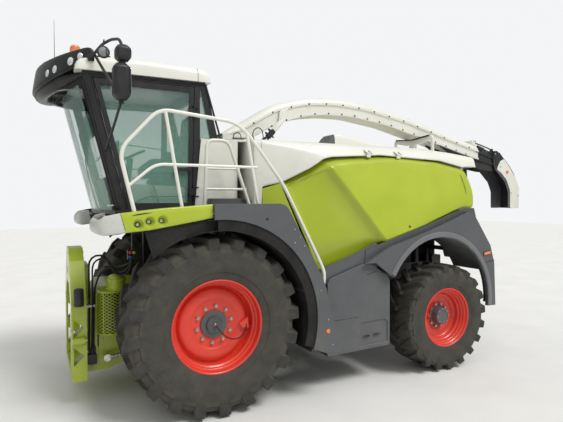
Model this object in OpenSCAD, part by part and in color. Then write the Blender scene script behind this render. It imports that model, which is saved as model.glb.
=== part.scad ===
// Self-propelled forage harvester with its intake unit, spout folded to the rear.
// Millimetres, +Z up, the machine faces -X and its left side is -Y.

/* [Wheels] */
// distance between the front and rear axles
wheelbase = 3300; // [2900:10:3700]
// radius of a front tyre out to its lugs' tips
front_tyre_r = 985; // [900:5:1050]
// width of a front tyre
front_tyre_w = 800; // [600:10:900]
// lugs round each side of a tyre's tread
lug_count = 20; // [16:1:24]
// distance between the middles of the front tyres
front_track = 2450; // [2300:10:2600]
// radius of a rear tyre out to its lugs' tips
rear_tyre_r = 728; // [650:2:800]
// width of a rear tyre
rear_tyre_w = 540; // [400:10:640]
// distance between the middles of the rear tyres
rear_track = 2690; // [2500:10:2800]

/* [Body] */
// half of the width over the arch plates
half_width = 1720; // [1600:10:1800]
// height of the platform's top edge
deck_z = 2310; // [2200:10:2400]
// height of the white hood's flat top
hood_z = 3120; // [2900:10:3300]
// half of the cab's width
cab_half = 865; // [780:5:950]
// height of the cab roof's top
roof_z = 3965; // [3800:5:4000]
// lean of the windscreen from upright, in degrees
screen_lean = 14; // [8:1:20]
// how far the windscreen's middle stands ahead of its sides
screen_bulge = 140; // [60:5:180]

/* [Spout] */
// distance of the spout's slewing axis behind the front axle
turret_x = 800; // [700:10:900]
// width of the spout
spout_w = 360; // [280:10:420]
// wall of the spout
spout_wall = 10; // [6:1:16]

/* [Intake] */
// half of the intake housing's width
intake_half = 400; // [350:5:420]
// height of the intake's swing axis
intake_pivot_z = 1000; // [900:10:1100]

/* [Hidden] */
$fn = 48;
// the front axle's place, so that the origin is at the middle of the whole outline
front_axle_x = -2390;
front_z = front_tyre_r;
rear_z = rear_tyre_r;
rail_y = 470;
rail_bottom = 1100;
rail_top = 1350;
floor_z = deck_z - 110;
kingpin_y = 1050;
front_lug = 55;
rear_lug = 42;
// running fit of a shaft in its bore, and the seam between two fixed pieces
stub_fit = 0.05;
seam = 0.3;
intake_pivot_x = -200;
front_bead = 500;
front_dish = 190;
front_stub_r = 90;
front_stub_w = 240;
rear_bead = 392;
rear_dish = 120;
rear_stub_r = 60;
rear_stub_w = 160;
// the side panels' cross-section on the left, from the sill up to the white hood's crown
side_profile = [[-1478, 1360], [-1474, 1850], [-1402, 2350], [-1327, 2750], [-1275, 2950]];
crown_profile = [[-1190, 3040], [-1010, 3102], [-600, 3148], [5, hood_z + 35]];
// the panels' front halves lie on an upright plane that narrows the machine toward the cab
crease_top = [1610, -1327];
crease_run = -0.204;
panel_wall = 14;
tow_pin_x = 4235;
tow_pin_r = 20;
lock_bore_r = 20;
tilt_z = 1500;
coupling_face_x = -1400;
rollers = [[-1000, 960], [-1000, 560]];
lift_base = [-295, 600];
lift_eye = [-1010, 500];
lift_y = -rail_y - 40;
hinge_x = 600;
hinge_z = 3245;
turret_base = 3102;
flap_x = 5880;
flap_z = 3190;
// pins of the spout's lift cylinder, beside the spout's left wall
ram_base = [1180, 3205];
ram_eye = [1450, 3500];
ram_y = -245;
// the side lids turn on pins along their top seam
lid_axis = [-1283, 2962];
lid_hinge_x = [2200, 2700];
// the door turns on upright pins beside the cab's middle pillar
door_hinge_x = -45;
door_hinge_y = -cab_half - 20;
door_hinge_z = [2450, 3400];

lime = "#a9b71f";
cream = "#e4e3d3";
dark_grey = "#4c4e50";
black = "#1d1e20";
rim_red = "#d8321f";
tyre_black = "#2b2b2c";
metal_grey = "#8c8f92";

// Places the drawing's front axle in the part's frame.
module from_axle() translate([front_axle_x, 0, 0]) children();

module both_sides() {
    children();
    mirror([0, 1, 0]) children();
}

// A slab between y0 and y1 whose outline is drawn in X and Z.
module xz_slab(outline, y0, y1)
    translate([0, y1, 0]) rotate([90, 0, 0]) linear_extrude(y1 - y0) polygon(outline);

// A bar between x0 and x1 whose outline is drawn in Y and Z.
module yz_bar(outline, x0, x1)
    translate([x0, 0, 0]) rotate([90, 0, 90]) linear_extrude(x1 - x0) polygon(outline);

module box(low, high)
    translate(low) cube([high[0] - low[0], high[1] - low[1], high[2] - low[2]]);

// A round bar between two points.
module rod(a, b, r) {
    v = b - a;
    length = norm(v);
    translate(a) rotate([0, acos(v[2] / length), atan2(v[1], v[0])]) cylinder(h = length, r = r);
}

// A bent tube through a list of points, with ball corners.
module tube(path, r) {
    for (i = [0 : len(path) - 2]) rod(path[i], path[i + 1], r);
    for (i = [1 : len(path) - 2]) translate(path[i]) sphere(r + 1.5);
}

// A shaft along Y between two distances from the middle, on the left side.
module axle_shaft(x, z, y_in, y_out, r)
    translate([x, -y_in, z]) rotate([90, 0, 0]) cylinder(h = y_out - y_in, r = r);

function arc(cx, cz, r, a0, a1, step) =
    [for (i = [0 : step]) let (a = a0 + (a1 - a0) * i / step) [cx + r * cos(a), cz + r * sin(a)]];

function reversed(v) = [for (i = [len(v) - 1 : -1 : 0]) v[i]];

// Wheels: profiles are radius and distance outward from the tyre's middle plane.

function tyre_half(r, w, bead, lug) = [
    [bead, 0.43 * w - seam], [bead + 12, 0.43 * w - seam], [bead + 14, 0.447 * w],
    [bead + 0.2 * (r - bead), 0.485 * w], [bead + 0.45 * (r - bead), 0.5 * w],
    [r - 1.9 * lug, 0.47 * w], [r - 1.15 * lug, 0.38 * w], [r - lug, 0.2 * w]];

function mirrored(v) = [for (p = reversed(v)) [p[0], -p[1]]];
function mirrored_y(v) = [for (p = reversed(v)) [-p[0], p[1]]];

// One lug from the tread's middle to the shoulder, as shares of the width and of the lugs' pitch.
lug_outline = [[-0.03, 0.22], [-0.03, 0.5], [0.3, 0.02], [0.495, -0.18], [0.495, -0.47], [0.26, -0.28]];

module tyre(r, w, bead, lug) {
    inner = [[bead, 0.37 * w], [bead + 0.2 * (r - bead), 0.44 * w], [bead + 0.6 * (r - bead), 0.44 * w],
        [r - 0.085 * w - 1.4 * lug, 0.3 * w]];
    pitch = 2 * PI * r / lug_count;
    root = r - 2.2 * lug;
    crown = sqrt(pow(r, 2) - pow(0.5 * pitch, 2));
    rotate([90, 0, 0]) {
        rotate_extrude($fn = 64) polygon(concat(
            tyre_half(r, w, bead, lug), mirrored(tyre_half(r, w, bead, lug)),
            reversed(mirrored(inner)), reversed(inner)));
        for (i = [0 : lug_count - 1], side = [-1, 1])
            rotate([0, 0, 360 * (i + (side > 0 ? 0.5 : 0)) / lug_count]) translate([root, 0, 0]) rotate([0, 90, 0])
                linear_extrude(crown - root) polygon([for (p = lug_outline) [side * p[0] * w, p[1] * pitch]]);
    }
}

// A dished rim with its hub drum, bored blind for the axle's stub.
module rim(bead, flange, seat, dish, hub_r, stub_r, stub_end) {
    rotate([90, 0, 0]) rotate_extrude($fn = 64) polygon([
        [bead - 16, -flange], [bead + 8, -flange], [bead + 8, -seat], [bead, -seat],
        [bead, seat], [bead + 8, seat], [bead + 8, flange], [bead - 14, flange],
        [bead - 28, seat], [bead - 34, dish + 60], [bead - 95, dish + 20], [hub_r + 60, dish],
        [hub_r, dish], [hub_r, dish + 62], [hub_r - 18, dish + 78], [0, dish + 78],
        [0, stub_end], [stub_r, stub_end], [stub_r, dish - 24], [hub_r + 60, dish - 24],
        [bead - 90, dish - 2], [bead - 16, dish + 30]]);
}

module front_wheel_place(side) from_axle()
    translate([0, side * front_track / 2, front_z]) mirror([0, side > 0 ? 1 : 0, 0]) children();

module rear_wheel_place(side) from_axle()
    translate([wheelbase, side * rear_track / 2, rear_z]) mirror([0, side > 0 ? 1 : 0, 0]) children();

module front_tyre(side) color(tyre_black) front_wheel_place(side)
    tyre(front_tyre_r, front_tyre_w, front_bead, front_lug);

module front_rim(side) color(rim_red) front_wheel_place(side)
    rim(front_bead, 0.445 * front_tyre_w, 0.43 * front_tyre_w, front_dish, 150,
        front_stub_r + stub_fit, front_stub_w);

module rear_tyre(side) color(tyre_black) rear_wheel_place(side)
    tyre(rear_tyre_r, rear_tyre_w, rear_bead, rear_lug);

module rear_rim(side) color(rim_red) rear_wheel_place(side)
    rim(rear_bead, 0.455 * rear_tyre_w, 0.43 * rear_tyre_w, rear_dish, 105,
        rear_stub_r + stub_fit, rear_stub_w);

module front_axle() color(dark_grey) from_axle() {
    box([-110, -640, 630], [110, 640, 780]);
    both_sides() {
        axle_shaft(0, front_z, 560, 860, 235);
        box([-150, -860, 750], [150, -560, 985]);
        axle_shaft(0, front_z, 850, front_track / 2 + front_dish - 40, 165);
        axle_shaft(0, front_z, front_track / 2, front_track / 2 + front_stub_w - 5, front_stub_r);
        box([-110, -rail_y - 40, 770], [110, -rail_y + 40, rail_bottom - seam]);
    }
}

module rear_axle() color(dark_grey) from_axle() translate([wheelbase, 0, 0]) {
    box([-90, -960, rear_z - 80], [90, 960, rear_z + 80]);
    box([-60, -120, rear_z + 60], [60, 120, rail_bottom - seam]);
    both_sides() {
        for (z = [-150, 110]) translate([0, -kingpin_y, rear_z + z]) {
            cylinder(h = 40, r = 90);
            translate([-60, 0, 0]) cube([120, 110, 40]);
        }
        translate([0, -kingpin_y, rear_z - 150]) cylinder(h = 300, r = 35);
        box([-60, -960, rear_z - 150], [60, -930, rear_z + 150]);
    }
}

module knuckle(side) color(black) from_axle()
    translate([wheelbase, side * kingpin_y, rear_z]) mirror([0, side > 0 ? 1 : 0, 0]) {
        difference() {
            union() {
                translate([0, 0, -104]) cylinder(h = 208, r = 78);
                axle_shaft(0, 0, 50, rear_track / 2 - kingpin_y + rear_dish - 34, 85);
            }
            translate([0, 0, -120]) cylinder(h = 240, r = 35 + stub_fit);
        }
        axle_shaft(0, 0, 200, rear_track / 2 - kingpin_y + rear_stub_w - 5, rear_stub_r);
    }

// The chassis: two rails, cross members between them and the intake's brackets, each bolted to the next.
module chassis_frame() color(black) from_axle() {
    both_sides() {
        box([-450, -rail_y - 40, rail_bottom], [4000 - seam, -rail_y + 40, rail_top]);
        box([-330, -rail_y - 10, 540], [-260, -rail_y + 40, rail_bottom - seam]);
        axle_shaft(lift_base[0], lift_base[1], rail_y - 20, rail_y + 70, 18);
        box([-255, -rail_y - 40, 910], [-140, -rail_y + 40, rail_bottom - seam]);
        axle_shaft(intake_pivot_x, intake_pivot_z, intake_half - 24, rail_y - 20, 45);
    }
    for (x = [1150, 2300, 3240, 3700])
        box([x, -rail_y + 40 + seam, rail_bottom], [x + 120, rail_y - 40 - seam, rail_bottom + 140]);
    rear_ballast();
}

// The ballast block across the tail carries the tow hitch's jaw.
module rear_ballast() {
    box([4000, -560, 620], [4180, 560, rail_top + 100]);
    difference() {
        for (z = [660, 860]) box([4180 + seam, -80, z], [4290, 80, z + 40]);
        translate([tow_pin_x, 0, 600]) cylinder(h = 400, r = tow_pin_r);
    }
}

// Posts, arms and hoops that carry the cab, the platforms and the panels, each a bolted bar.
module body_brackets() color(black) from_axle() {
    side = -rail_y - 40;
    inside = -rail_y + 40;
    both_sides() {
        for (x = [-400, 470]) {
            box([x, side, rail_top + seam], [x + 80, inside, floor_z - 90 - seam]);
            box([x, -half_width + 100, floor_z - 90], [x + 80, inside, floor_z - 18 - seam]);
            box([x, -cab_half + 20, floor_z - 18], [x + 80, -cab_half + 100, floor_z - seam]);
        }
        for (x = [1600, 2200]) {
            box([x, side, 620], [x + 60, inside, rail_bottom - seam]);
            box([x, -1460 + seam, 620], [x + 60, side - seam, 690]);
        }
        for (x = [2340, 3990 - 60]) {
            box([x, side, rail_top + seam], [x + 60, inside, 1620]);
            box([x, -1515 + seam, 1560], [x + 60, side - seam, 1620]);
        }
        for (x = [1420, 3700]) box([x, side, rail_top + seam], [x + 60, inside, 2930 - seam]);
    }
    for (x = [1420, 3700]) box([x, -1150, 2930], [x + 60, 1150, 2975]);
}

module engine_block() color(metal_grey) from_axle()
    box([2250, -420, rail_bottom + 140 + seam], [3690, 420, 2150]);

module crop_channel() color(metal_grey) from_axle() {
    difference() {
        union() {
            xz_slab([[-118, 800], [-118, 1230], [200, 1480], [640, 1500], [640, 880], [150, 790]], -rail_y + 40 + seam, rail_y - 40 - seam);
            xz_slab([[330, 1400], [560, 3060], [1020, 3060], [900, 1100], [600, 880]], -230, 230);
        }
        xz_slab([[-300, 830], [-300, 1180], [100, 1370], [500, 1420], [500, 930], [150, 820]], -400, 400);
        xz_slab([[360, 1300], [585, 3200], [995, 3200], [870, 1120], [480, 920]], -205, 205);
    }
    translate([turret_x, 0, 3030]) difference() {
        cylinder(h = 72 - seam, r = 290);
        translate([0, 0, -10]) cylinder(h = 120, r = 200);
    }
}

// Cab: its windscreen is part of a leaning drum, and the header and the floor end on the same curve.

screen_base_x = -870;
screen_r = (pow(cab_half, 2) + pow(screen_bulge, 2)) / (2 * screen_bulge);

module screen_drum(inset)
    translate([screen_base_x - screen_bulge + screen_r, 0, floor_z]) rotate([0, -screen_lean, 0])
        translate([0, 0, -400]) cylinder(h = 2500, r = screen_r - inset, $fn = 360);

// x of the cab's front edge at a height, moved back by a step
function cab_front(z, step) = [screen_base_x + step - (z - floor_z) * tan(screen_lean), z];

cab_side = [cab_front(floor_z, -19), [320, floor_z], [300, 2900], [100, 3760], cab_front(3760, -19)];
door_opening = [cab_front(floor_z + 45, 61), [-70, floor_z + 45], [-30, 3700], cab_front(3700, 61)];
door_outline = [cab_front(floor_z + 55, 75), [-80, floor_z + 55], [-40, 3690], cab_front(3690, 75)];
door_window = [cab_front(2320, 125), [-125, 2320], [-92, 3630], cab_front(3630, 125)];
quarter_window = [[30, 3080], [170, 3080], [50, 3680], [32, 3680]];

module cab_shell() color(black) from_axle() {
    both_sides() difference() {
        xz_slab(cab_side, -cab_half, -cab_half + 60);
        xz_slab(door_opening, -cab_half - 10, -cab_half + 70);
        xz_slab(quarter_window, -cab_half - 10, -cab_half + 70);
    }
    intersection() {
        screen_drum(0);
        box([-1400, -cab_half, floor_z], [320, cab_half, floor_z + 45]);
    }
    difference() {
        intersection() {
            screen_drum(0);
            box([-1600, -cab_half, 3700], [-1100, cab_half, 3760]);
        }
        screen_drum(110);
    }
    difference() {
        xz_slab([[250, floor_z], [320, floor_z], [300, 2900], [100, 3760], [40, 3760], [240, 2890]], -cab_half, cab_half);
        box([-100, -cab_half + 90, 2950], [400, cab_half - 90, 3640]);
    }
    for (z = door_hinge_z) {
        translate([door_hinge_x, door_hinge_y, z - 60]) cylinder(h = 120, r = 8);
        for (dz = [-60, 45]) box([door_hinge_x - 12, door_hinge_y - 12, z + dz], [door_hinge_x + 45, -cab_half + 5, z + dz + 15]);
    }
    steering_column();
}

module steering_column() {
    rod([-720, 0, floor_z + 20], [-640, 0, 2900], 40);
    translate([-630, 0, 2905]) rotate([0, -25, 0]) difference() {
        cylinder(h = 30, r = 200);
        translate([0, 0, -1]) cylinder(h = 32, r = 172);
    }
    translate([-630, 0, 2905]) rotate([0, -25, 0]) box([-18, -180, 5], [18, 180, 25]);
}

module cab_door() color(black) from_axle() {
    difference() {
        xz_slab(door_outline, -cab_half - 5, -cab_half + 45);
        xz_slab(door_window, -cab_half - 10, -cab_half + 50);
        for (z = door_hinge_z) box([door_hinge_x - 30, -cab_half - 20, z - 68], [door_hinge_x + 60, -cab_half + 12, z + 68]);
    }
    for (z = door_hinge_z) difference() {
        union() {
            translate([door_hinge_x, door_hinge_y, z - 40]) cylinder(h = 80, r = 16);
            box([door_hinge_x - 70, door_hinge_y - 8, z - 40], [door_hinge_x, -cab_half, z + 40]);
        }
        translate([door_hinge_x, door_hinge_y, z - 50]) cylinder(h = 100, r = 8 + stub_fit);
    }
}

// An outline drawn in X and Z, pulled in by the seam to sit in its frame.
module pane(outline, y0, y1)
    translate([0, y1, 0]) rotate([90, 0, 0]) linear_extrude(y1 - y0) offset(delta = -seam) polygon(outline);

module door_glass() color("#5f8f84") from_axle() pane(door_window, -cab_half + 10, -cab_half + 18);

module cab_glass() color("#5f8f84") from_axle() {
    intersection() {
        difference() {
            screen_drum(0);
            screen_drum(8);
        }
        box([-1600, -cab_half + 60 + seam, floor_z + 45 + seam], [-700, cab_half - 60 - seam, 3700 - seam]);
    }
    pane(door_opening, cab_half - 30, cab_half - 22);
    both_sides() pane(quarter_window, -cab_half + 10, -cab_half + 18);
    xz_slab([[260, 2950 + seam], [268, 2950 + seam], [108, 3640 - seam], [100, 3640 - seam]],
        -cab_half + 90 + seam, cab_half - 90 - seam);
}

module cab_roof() color(cream) from_axle()
    xz_slab(roof_outline, -cab_half - 40, cab_half + 40);

roof_outline = [[-1350, 3760 + seam], [-1330, roof_z - 95], [-950, roof_z - 10], [-500, roof_z], [60, roof_z - 25],
    [170, roof_z - 85], [150, 3760 + seam]];
// how far the visor's top edge stands over the roof
visor_rise = 85;
visor_top = roof_z + visor_rise;

module roof_visor() color(black) from_axle() difference() {
    intersection() {
        translate([-820, 0, roof_z - 565]) cylinder(h = 700, r = 940);
        xz_slab([[-1800, roof_z - 385], [-1500, roof_z - 465], [-1150, roof_z - 105], [-1150, visor_top],
            [-1650, visor_top], [-1800, roof_z - 65]], -900, 900);
    }
    translate([-820, 0, roof_z - 565]) cylinder(h = 565 + visor_rise - 30, r = 900);
    box([-1350 - seam, -cab_half - 41, roof_z - 265], [-1000, cab_half + 41, roof_z - 5]);
}

module operator_seat() color("#3a3b3d") from_axle() {
    box([-420, -260, 2700], [80, 260, 2830]);
    xz_slab([[-60, 2820], [40, 2820], [115, 3480], [15, 3500]], -240, 240);
    box([-300, -160, floor_z + 45 + seam], [0, 160, 2705]);
}

// Platforms, stairs and rails.

module platforms() color(lime) from_axle() both_sides() {
    box([-1000, -half_width + 90, floor_z - 18], [-80, -cab_half - 12, floor_z]);
    box([-85, -half_width + 40 + seam, floor_z - 18], [700, -cab_half - 12, floor_z]);
    xz_slab([[-1220, 2130], [-1180, 2190], [-1010, 2225], [-620, 2270], [-80 - seam, deck_z], [-80 - seam, 2160],
        [-480, 2090], [-980, 2030], [-1170, 2010]], -half_width + 60, -half_width + 92);
    xz_slab([[-1220, 2130], [-1180, 2190], [-1010, 2225], [-990, 2225], [-990, 2030], [-1170, 2010]],
        -half_width + 90, -cab_half - 12);
}

module stairs() color(dark_grey) from_axle() both_sides() {
    for (i = [0 : 4])
        box([740 + 120 * i, -half_width + 40 + seam, 1960 - 330 * i], [940 + 120 * i, -1300, 1990 - 330 * i]);
    xz_slab([[600, floor_z - 18 - seam], [700, floor_z - 18 - seam], [1428, 680], [1428, 500], [1300, 560]], -1325, -1296);
}

// y of the front panels' upright plane at a place along the machine
function crease_y(x) = crease_top[1] + crease_run * (x - crease_top[0]);

// The space inside the panels' outer skin on the left, less an inset: the cross-section cut by the upright plane.
module panel_space(inset) intersection() {
    yz_bar(concat([[5, 1000], [side_profile[0][0] + inset, 1000]], [for (p = side_profile) [p[0] + inset, p[1]]],
        [for (p = crown_profile) [p[0] + 0.5 * inset, p[1] - inset]]), 500, 4300);
    translate([0, 0, 400]) linear_extrude(3000)
        polygon([[400, crease_y(400) + inset], [2500, crease_y(2500) + inset], [4400, crease_y(4400) + inset], [4400, 10], [400, 10]]);
}

module panel_skin() difference() {
    panel_space(0);
    panel_space(panel_wall);
}

// The fixed lime panel between the stairs and the side lid, with two spacers to the stairs' stringer.
module stair_side_panels() color(lime) from_axle() both_sides() {
    intersection() {
        difference() {
            foot_space(0);
            foot_space(panel_wall);
        }
        xz_slab([[720 + seam, floor_z + seam], [720 + seam, 2490], [940, 2555], [1420, 1400], [1420, 560], [1330, 620]], -1500, -1000);
    }
    for (p = [[978, 1500], [1155, 1100]]) translate([0, 0, p[1]]) linear_extrude(40)
        polygon([[p[0], -1296 + seam], [p[0] + 30, -1296 + seam], [p[0] + 30, crease_y(p[0] + 30) + 3], [p[0], crease_y(p[0]) + 3]]);
}

module foot_space(inset) translate([0, 0, 400]) linear_extrude(2400)
    polygon([[600, crease_y(600) + inset], [1500, crease_y(1500) + inset], [1500, -900], [600, -900]]);

// The rails' slanting tubes end flush with the deck at their lower edges.
module handrails() color(cream) from_axle() both_sides() {
    y = -half_width + 120;
    foot = floor_z + seam;
    tube([[-860, y, foot + 4.6], [-1010, y, 2840], [-620, y, 3270], [210, y, 3190], [400, y, 3010],
        [750, y - 20, 2550], [1190, y - 59.7, 1560], [1200, y - 59.7, 1400]], 20);
    tube([[-870, y, 2500], [-640, y, 2720], [450, y, 2710]], 16);
    rod([-560, y, 3264], [-380, y, foot + 3.1], 18);
    rod([330, y, 3080], [480, y, foot + 3.1], 18);
    tube([[0, -1100, foot + 1], [40, -1100, 3050], [300, -1100, 3050], [600, -1100, foot + 6.8]], 20);
    rod([10, -1100, 2720], [440, -1100, 2720], 14);
    rod([0, -1100, 2480], [525, -1100, 2480], 14);
}

// The arch plates behind the front wheels and the panels between the wheels.
module arch_and_lower_panels() {
    arch_plates();
    lower_panels();
}

module arch_plates() color(dark_grey) from_axle() both_sides() {
    xz_slab(concat([[-80, 2175], [-80, deck_z], [700, deck_z], [770, 2280], [1050, 1780], [1260, 1380], [1470, 540], [1290, 540]],
        arc(0, front_z, 1160, -18, 94, 10)), -half_width, -half_width + 40);
    box([-80, -half_width + 38, deck_z - 30], [700, -half_width + 75, deck_z]);
}

module lower_panels() color(dark_grey) from_axle() both_sides() difference() {
    xz_slab([[1430, 430], [2385, 450], [2385, 1330], [2100, 1530], [1940, 1530], [1430, 1370]], -1490, -930);
    xz_slab([[1455, 455], [2360, 475], [2360, 1318], [2090, 1505], [1945, 1505], [1455, 1350]], -1460, -900);
}

module rear_fenders() color(dark_grey) from_axle() {
    fender_skins();
    rear_grille();
}

// The louvred panel that closes the tail between the fenders.
module rear_grille() {
    half = [[-600 + seam, rail_top + 100 + seam], [-600 + seam, 1960], [-1300, 1960], [-1260, 2800]];
    yz_bar(concat(half, mirrored_y(half)), 3995, 4015);
    for (z = [1560 : 150 : 2700]) xz_slab([[4014, z], [4014, z + 70], [4060, z + 20], [4060, z]], -540, 540);
}

module fender_skins() both_sides() {
    xz_slab(concat([[1960, 1545], [2110, 1545], [2395, 1340]], arc(3220, 930, 905, 152, -8, 14),
        [[4280, 800], [4250, 1420], [4170, 1680], [3830, 2150], [3740, 2165], [3430, 2060], [3010, 1920], [2320, 1730]]),
        -1560, -1515);
    xz_slab([[3740, 2165], [3830, 2150], [4170, 1680], [4250, 1420], [4225, 1420], [4145, 1670], [3810, 2125], [3740, 2135]],
        -1530, -600);
}

// Hood and side lids are cut from the same outer skin.

module lid_hinge_pins() both_sides() for (x = lid_hinge_x) {
    rod([x - 46, lid_axis[0], lid_axis[1]], [x + 46, lid_axis[0], lid_axis[1]], 6);
    for (dx = [-46, 34]) yz_bar([[lid_axis[0] - 8, lid_axis[1] - 8], [lid_axis[0] - 8, lid_axis[1] + 8],
        [-1225, 3010], [-1225, 2985], [lid_axis[0] + 8, lid_axis[1] - 8]], x + dx, x + dx + 12);
}

hood_outline = [[620, floor_z + seam], [620, hood_z - 30], [1100, hood_z + 60], [2900, hood_z + 60], [3760, 3040],
    [4140, 2980], [4140, 2830], [3890, 2830], [3450, 2920], [2410, 2970], [1620, 2910], [1500, 2880],
    [1320, 2760], [950, 2580], [720, 2510], [720, floor_z + seam]];

module upper_hood() color(cream) from_axle() {
    difference() {
        intersection() {
            both_sides() panel_space(0);
            xz_slab(hood_outline, -1600, 1600);
        }
        intersection() {
            both_sides() panel_space(panel_wall);
            xz_slab([[632, 2000], [632, hood_z - 42], [1100, hood_z + 48], [2900, hood_z + 48], [3755, 3028],
                [4128, 2968], [4128, 2000]], -1600, 1600);
        }
        translate([turret_x, 0, 3000]) cylinder(h = 300, r = 300);
        box([610, -240, 2100], [700, 240, 3020]);
    }
    lid_hinge_pins();
    hood_hump();
    spout_rest();
}

// The raised cover on the hood's left shoulder and its twin on the right.
module hood_hump() both_sides()
    xz_slab([[1900, 3100], [2050, 3290], [2170, 3285], [3100, 3140], [3100, 3100]], -700, -330);

module spout_rest()
    xz_slab([[3960, 3000], [4060, 3385], [4190, 3385], [4110, 2978]], -90, 90);

module side_lid(side) color(lime) from_axle() mirror([0, side > 0 ? 1 : 0, 0]) {
    intersection() {
        panel_skin();
        xz_slab([[960, 2560], [1320, 2740], [1500, 2860], [1620, 2890], [2410, 2945], [3450, 2900], [3885, 2810],
            [3990, 2410], [3940, 2180], [3740, 2180], [3430, 2075], [3010, 1935], [2320, 1745], [1930, 1560], [1440, 1395]],
            -1600, -1000);
    }
    for (x = lid_hinge_x) difference() {
        union() {
            rod([x - 30, lid_axis[0], lid_axis[1]], [x + 30, lid_axis[0], lid_axis[1]], 12);
            yz_bar([[lid_axis[0] - 10, lid_axis[1]], [lid_axis[0] + 3, lid_axis[1]], [-1272, 2900], [-1290, 2900]], x - 30, x + 30);
        }
        rod([x - 40, lid_axis[0], lid_axis[1]], [x + 40, lid_axis[0], lid_axis[1]], 6 + stub_fit);
    }
}

module mirrors() color(black) from_axle() both_sides() {
    box([-1010, -half_width + 10, 3350], [-880, -half_width + 190, 3700]);
    box([-1000, -half_width + 20, 3715], [-890, -half_width + 180, 3920]);
    rod([-945, -half_width + 100, 3690], [-945, -half_width + 100, 3720], 30);
    tube([[-1190, -cab_half - 52, 3880], [-1050, -1300, 4080], [-945, -half_width + 100, 4040],
        [-945, -half_width + 100, 3340], [-1046, -cab_half - 12, 2900]], 16);
    box([-1225, -cab_half - 60, 3850], [-1155, -cab_half - 40 - seam, 3920]);
    box([-1062, -cab_half - 20, 2860], [-1026, -cab_half - seam, 2940]);
}

module beacon_and_aerial() color("#e07a1e") from_axle() translate([0, 0, visor_top + seam]) {
    translate([-1300, -250, 0]) cylinder(h = 140, r = 65);
    translate([-1500, 450, 0]) cylinder(h = 60, r = 25);
    translate([-1500, 450, 0]) cylinder(h = 640, r = 5);
}

// Spout.

spout_top = [[560, 3215], [560, 3250], [660, 3330], [970, 3510], [1370, 3750], [1870, 3890], [2410, 3930],
    [2980, 3890], [3810, 3750], [4710, 3530], [5450, 3340], [5850, 3230]];
spout_under = [[5830, 3050], [5400, 3150], [4600, 3330], [3800, 3470], [3380, 3560], [2690, 3650], [2230, 3645],
    [1870, 3600], [1610, 3525], [1240, 3370], [1040, 3235], [800, 3215]];

module spout_turret() color(cream) from_axle() {
    translate([turret_x, 0, 0]) difference() {
        union() {
            translate([0, 0, turret_base]) cylinder(h = 80, r = 285);
            box([-250, -spout_w / 2 - 40, 3170], [420, spout_w / 2 + 40, 3190]);
        }
        translate([0, 0, 3000]) cylinder(h = 400, r = 165);
    }
    both_sides() xz_slab([[550, 3180], [550, 3260], [620, 3280], [680, 3240], [700, 3180]],
        -spout_w / 2 - 36, -spout_w / 2 - 6);
    rod([hinge_x, -spout_w / 2 - 20, hinge_z], [hinge_x, spout_w / 2 + 20, hinge_z], 15);
    xz_slab([[1140, 3172], [1140, 3225], [1180, 3235], [1220, 3225], [1220, 3172]], ram_y + 35, -spout_w / 2 - 10);
    axle_shaft(ram_base[0], ram_base[1], -ram_y - 36, -ram_y + 30, 12);
}

module spout_arm() color(cream) from_axle() {
    difference() {
        xz_slab(concat(spout_top, spout_under), -spout_w / 2, spout_w / 2);
        xz_slab(concat([[630, 3000], [630, 3290]], [for (i = [3 : 11]) spout_top[i] - [0, spout_wall]],
            [[5900, 3200], [5900, 2900], [5300, 3050], [3800, 3400], [2690, 3600], [1240, 3300], [1040, 3100]]),
            -spout_w / 2 + spout_wall, spout_w / 2 - spout_wall);
        rod([hinge_x, -300, hinge_z], [hinge_x, 300, hinge_z], 15 + stub_fit);
    }
    axle_shaft(ram_eye[0], ram_eye[1], spout_w / 2 - 1, -ram_y - 26, 15);
    both_sides() {
        xz_slab([[5800, 3120], [5800, 3220], [5910, 3230], [5910, 3150]], -spout_w / 2 - 8, -spout_w / 2 + spout_wall);
        axle_shaft(flap_x, flap_z, spout_w / 2 - 1, spout_w / 2 + 29, 12);
        spout_lip([for (i = [1 : 11]) spout_under[i] + [0, 6]], 30);
        spout_lip([for (i = [1 : 7]) reversed(spout_top)[i] - [0, 85]], 24);
    }
}

// A bolted lip along the spout's side, through points drawn in X and Z.
module spout_lip(line, height)
    xz_slab(concat(line, [for (p = reversed(line)) p + [0, height]]), -spout_w / 2 - 16, -spout_w / 2 + 2);

module spout_flap() color(black) from_axle() difference() {
    xz_slab([[5850, 3215], [5905, 3215], [5905, 3252], [5930, 3252], [5972, 3225], [6068, 3139], [6258, 2964],
        [6426, 2762], [6540, 2560], [6528, 2180], [6240, 2180], [6235, 2500], [6150, 2680], [5990, 2820],
        [5890, 2900], [5850, 3000]], -spout_w / 2 - 28, spout_w / 2 + 28);
    xz_slab([[5700, 3238], [5925, 3238], [5966, 3212], [6060, 3128], [6249, 2954], [6415, 2755], [6526, 2556],
        [6515, 2100], [5900, 2100], [5700, 2700]], -spout_w / 2 - 14, spout_w / 2 + 14);
    rod([flap_x, -300, flap_z], [flap_x, 300, flap_z], 12 + stub_fit);
}

// A ram drawn from its base pin toward its rod's eye: the barrel, then the rod.
module ram_barrel(base, eye, y, r, length, pin_r, eye_w) difference() {
    along = (eye - base) / norm(eye - base);
    union() {
        rod([base[0], y, base[1]] + 1.2 * r * [along[0], 0, along[1]], [base[0] + length * along[0], y, base[1] + length * along[1]], r);
        axle_shaft(base[0], base[1], -y - eye_w / 2, -y + eye_w / 2, 1.4 * r);
    }
    axle_shaft(base[0], base[1], -y - eye_w, -y + eye_w, pin_r + stub_fit);
    rod([base[0] + (pin_r + 20) * along[0], y, base[1] + (pin_r + 20) * along[1]],
        [base[0] + (length + 20) * along[0], y, base[1] + (length + 20) * along[1]], 0.55 * r + stub_fit);
}

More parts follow.
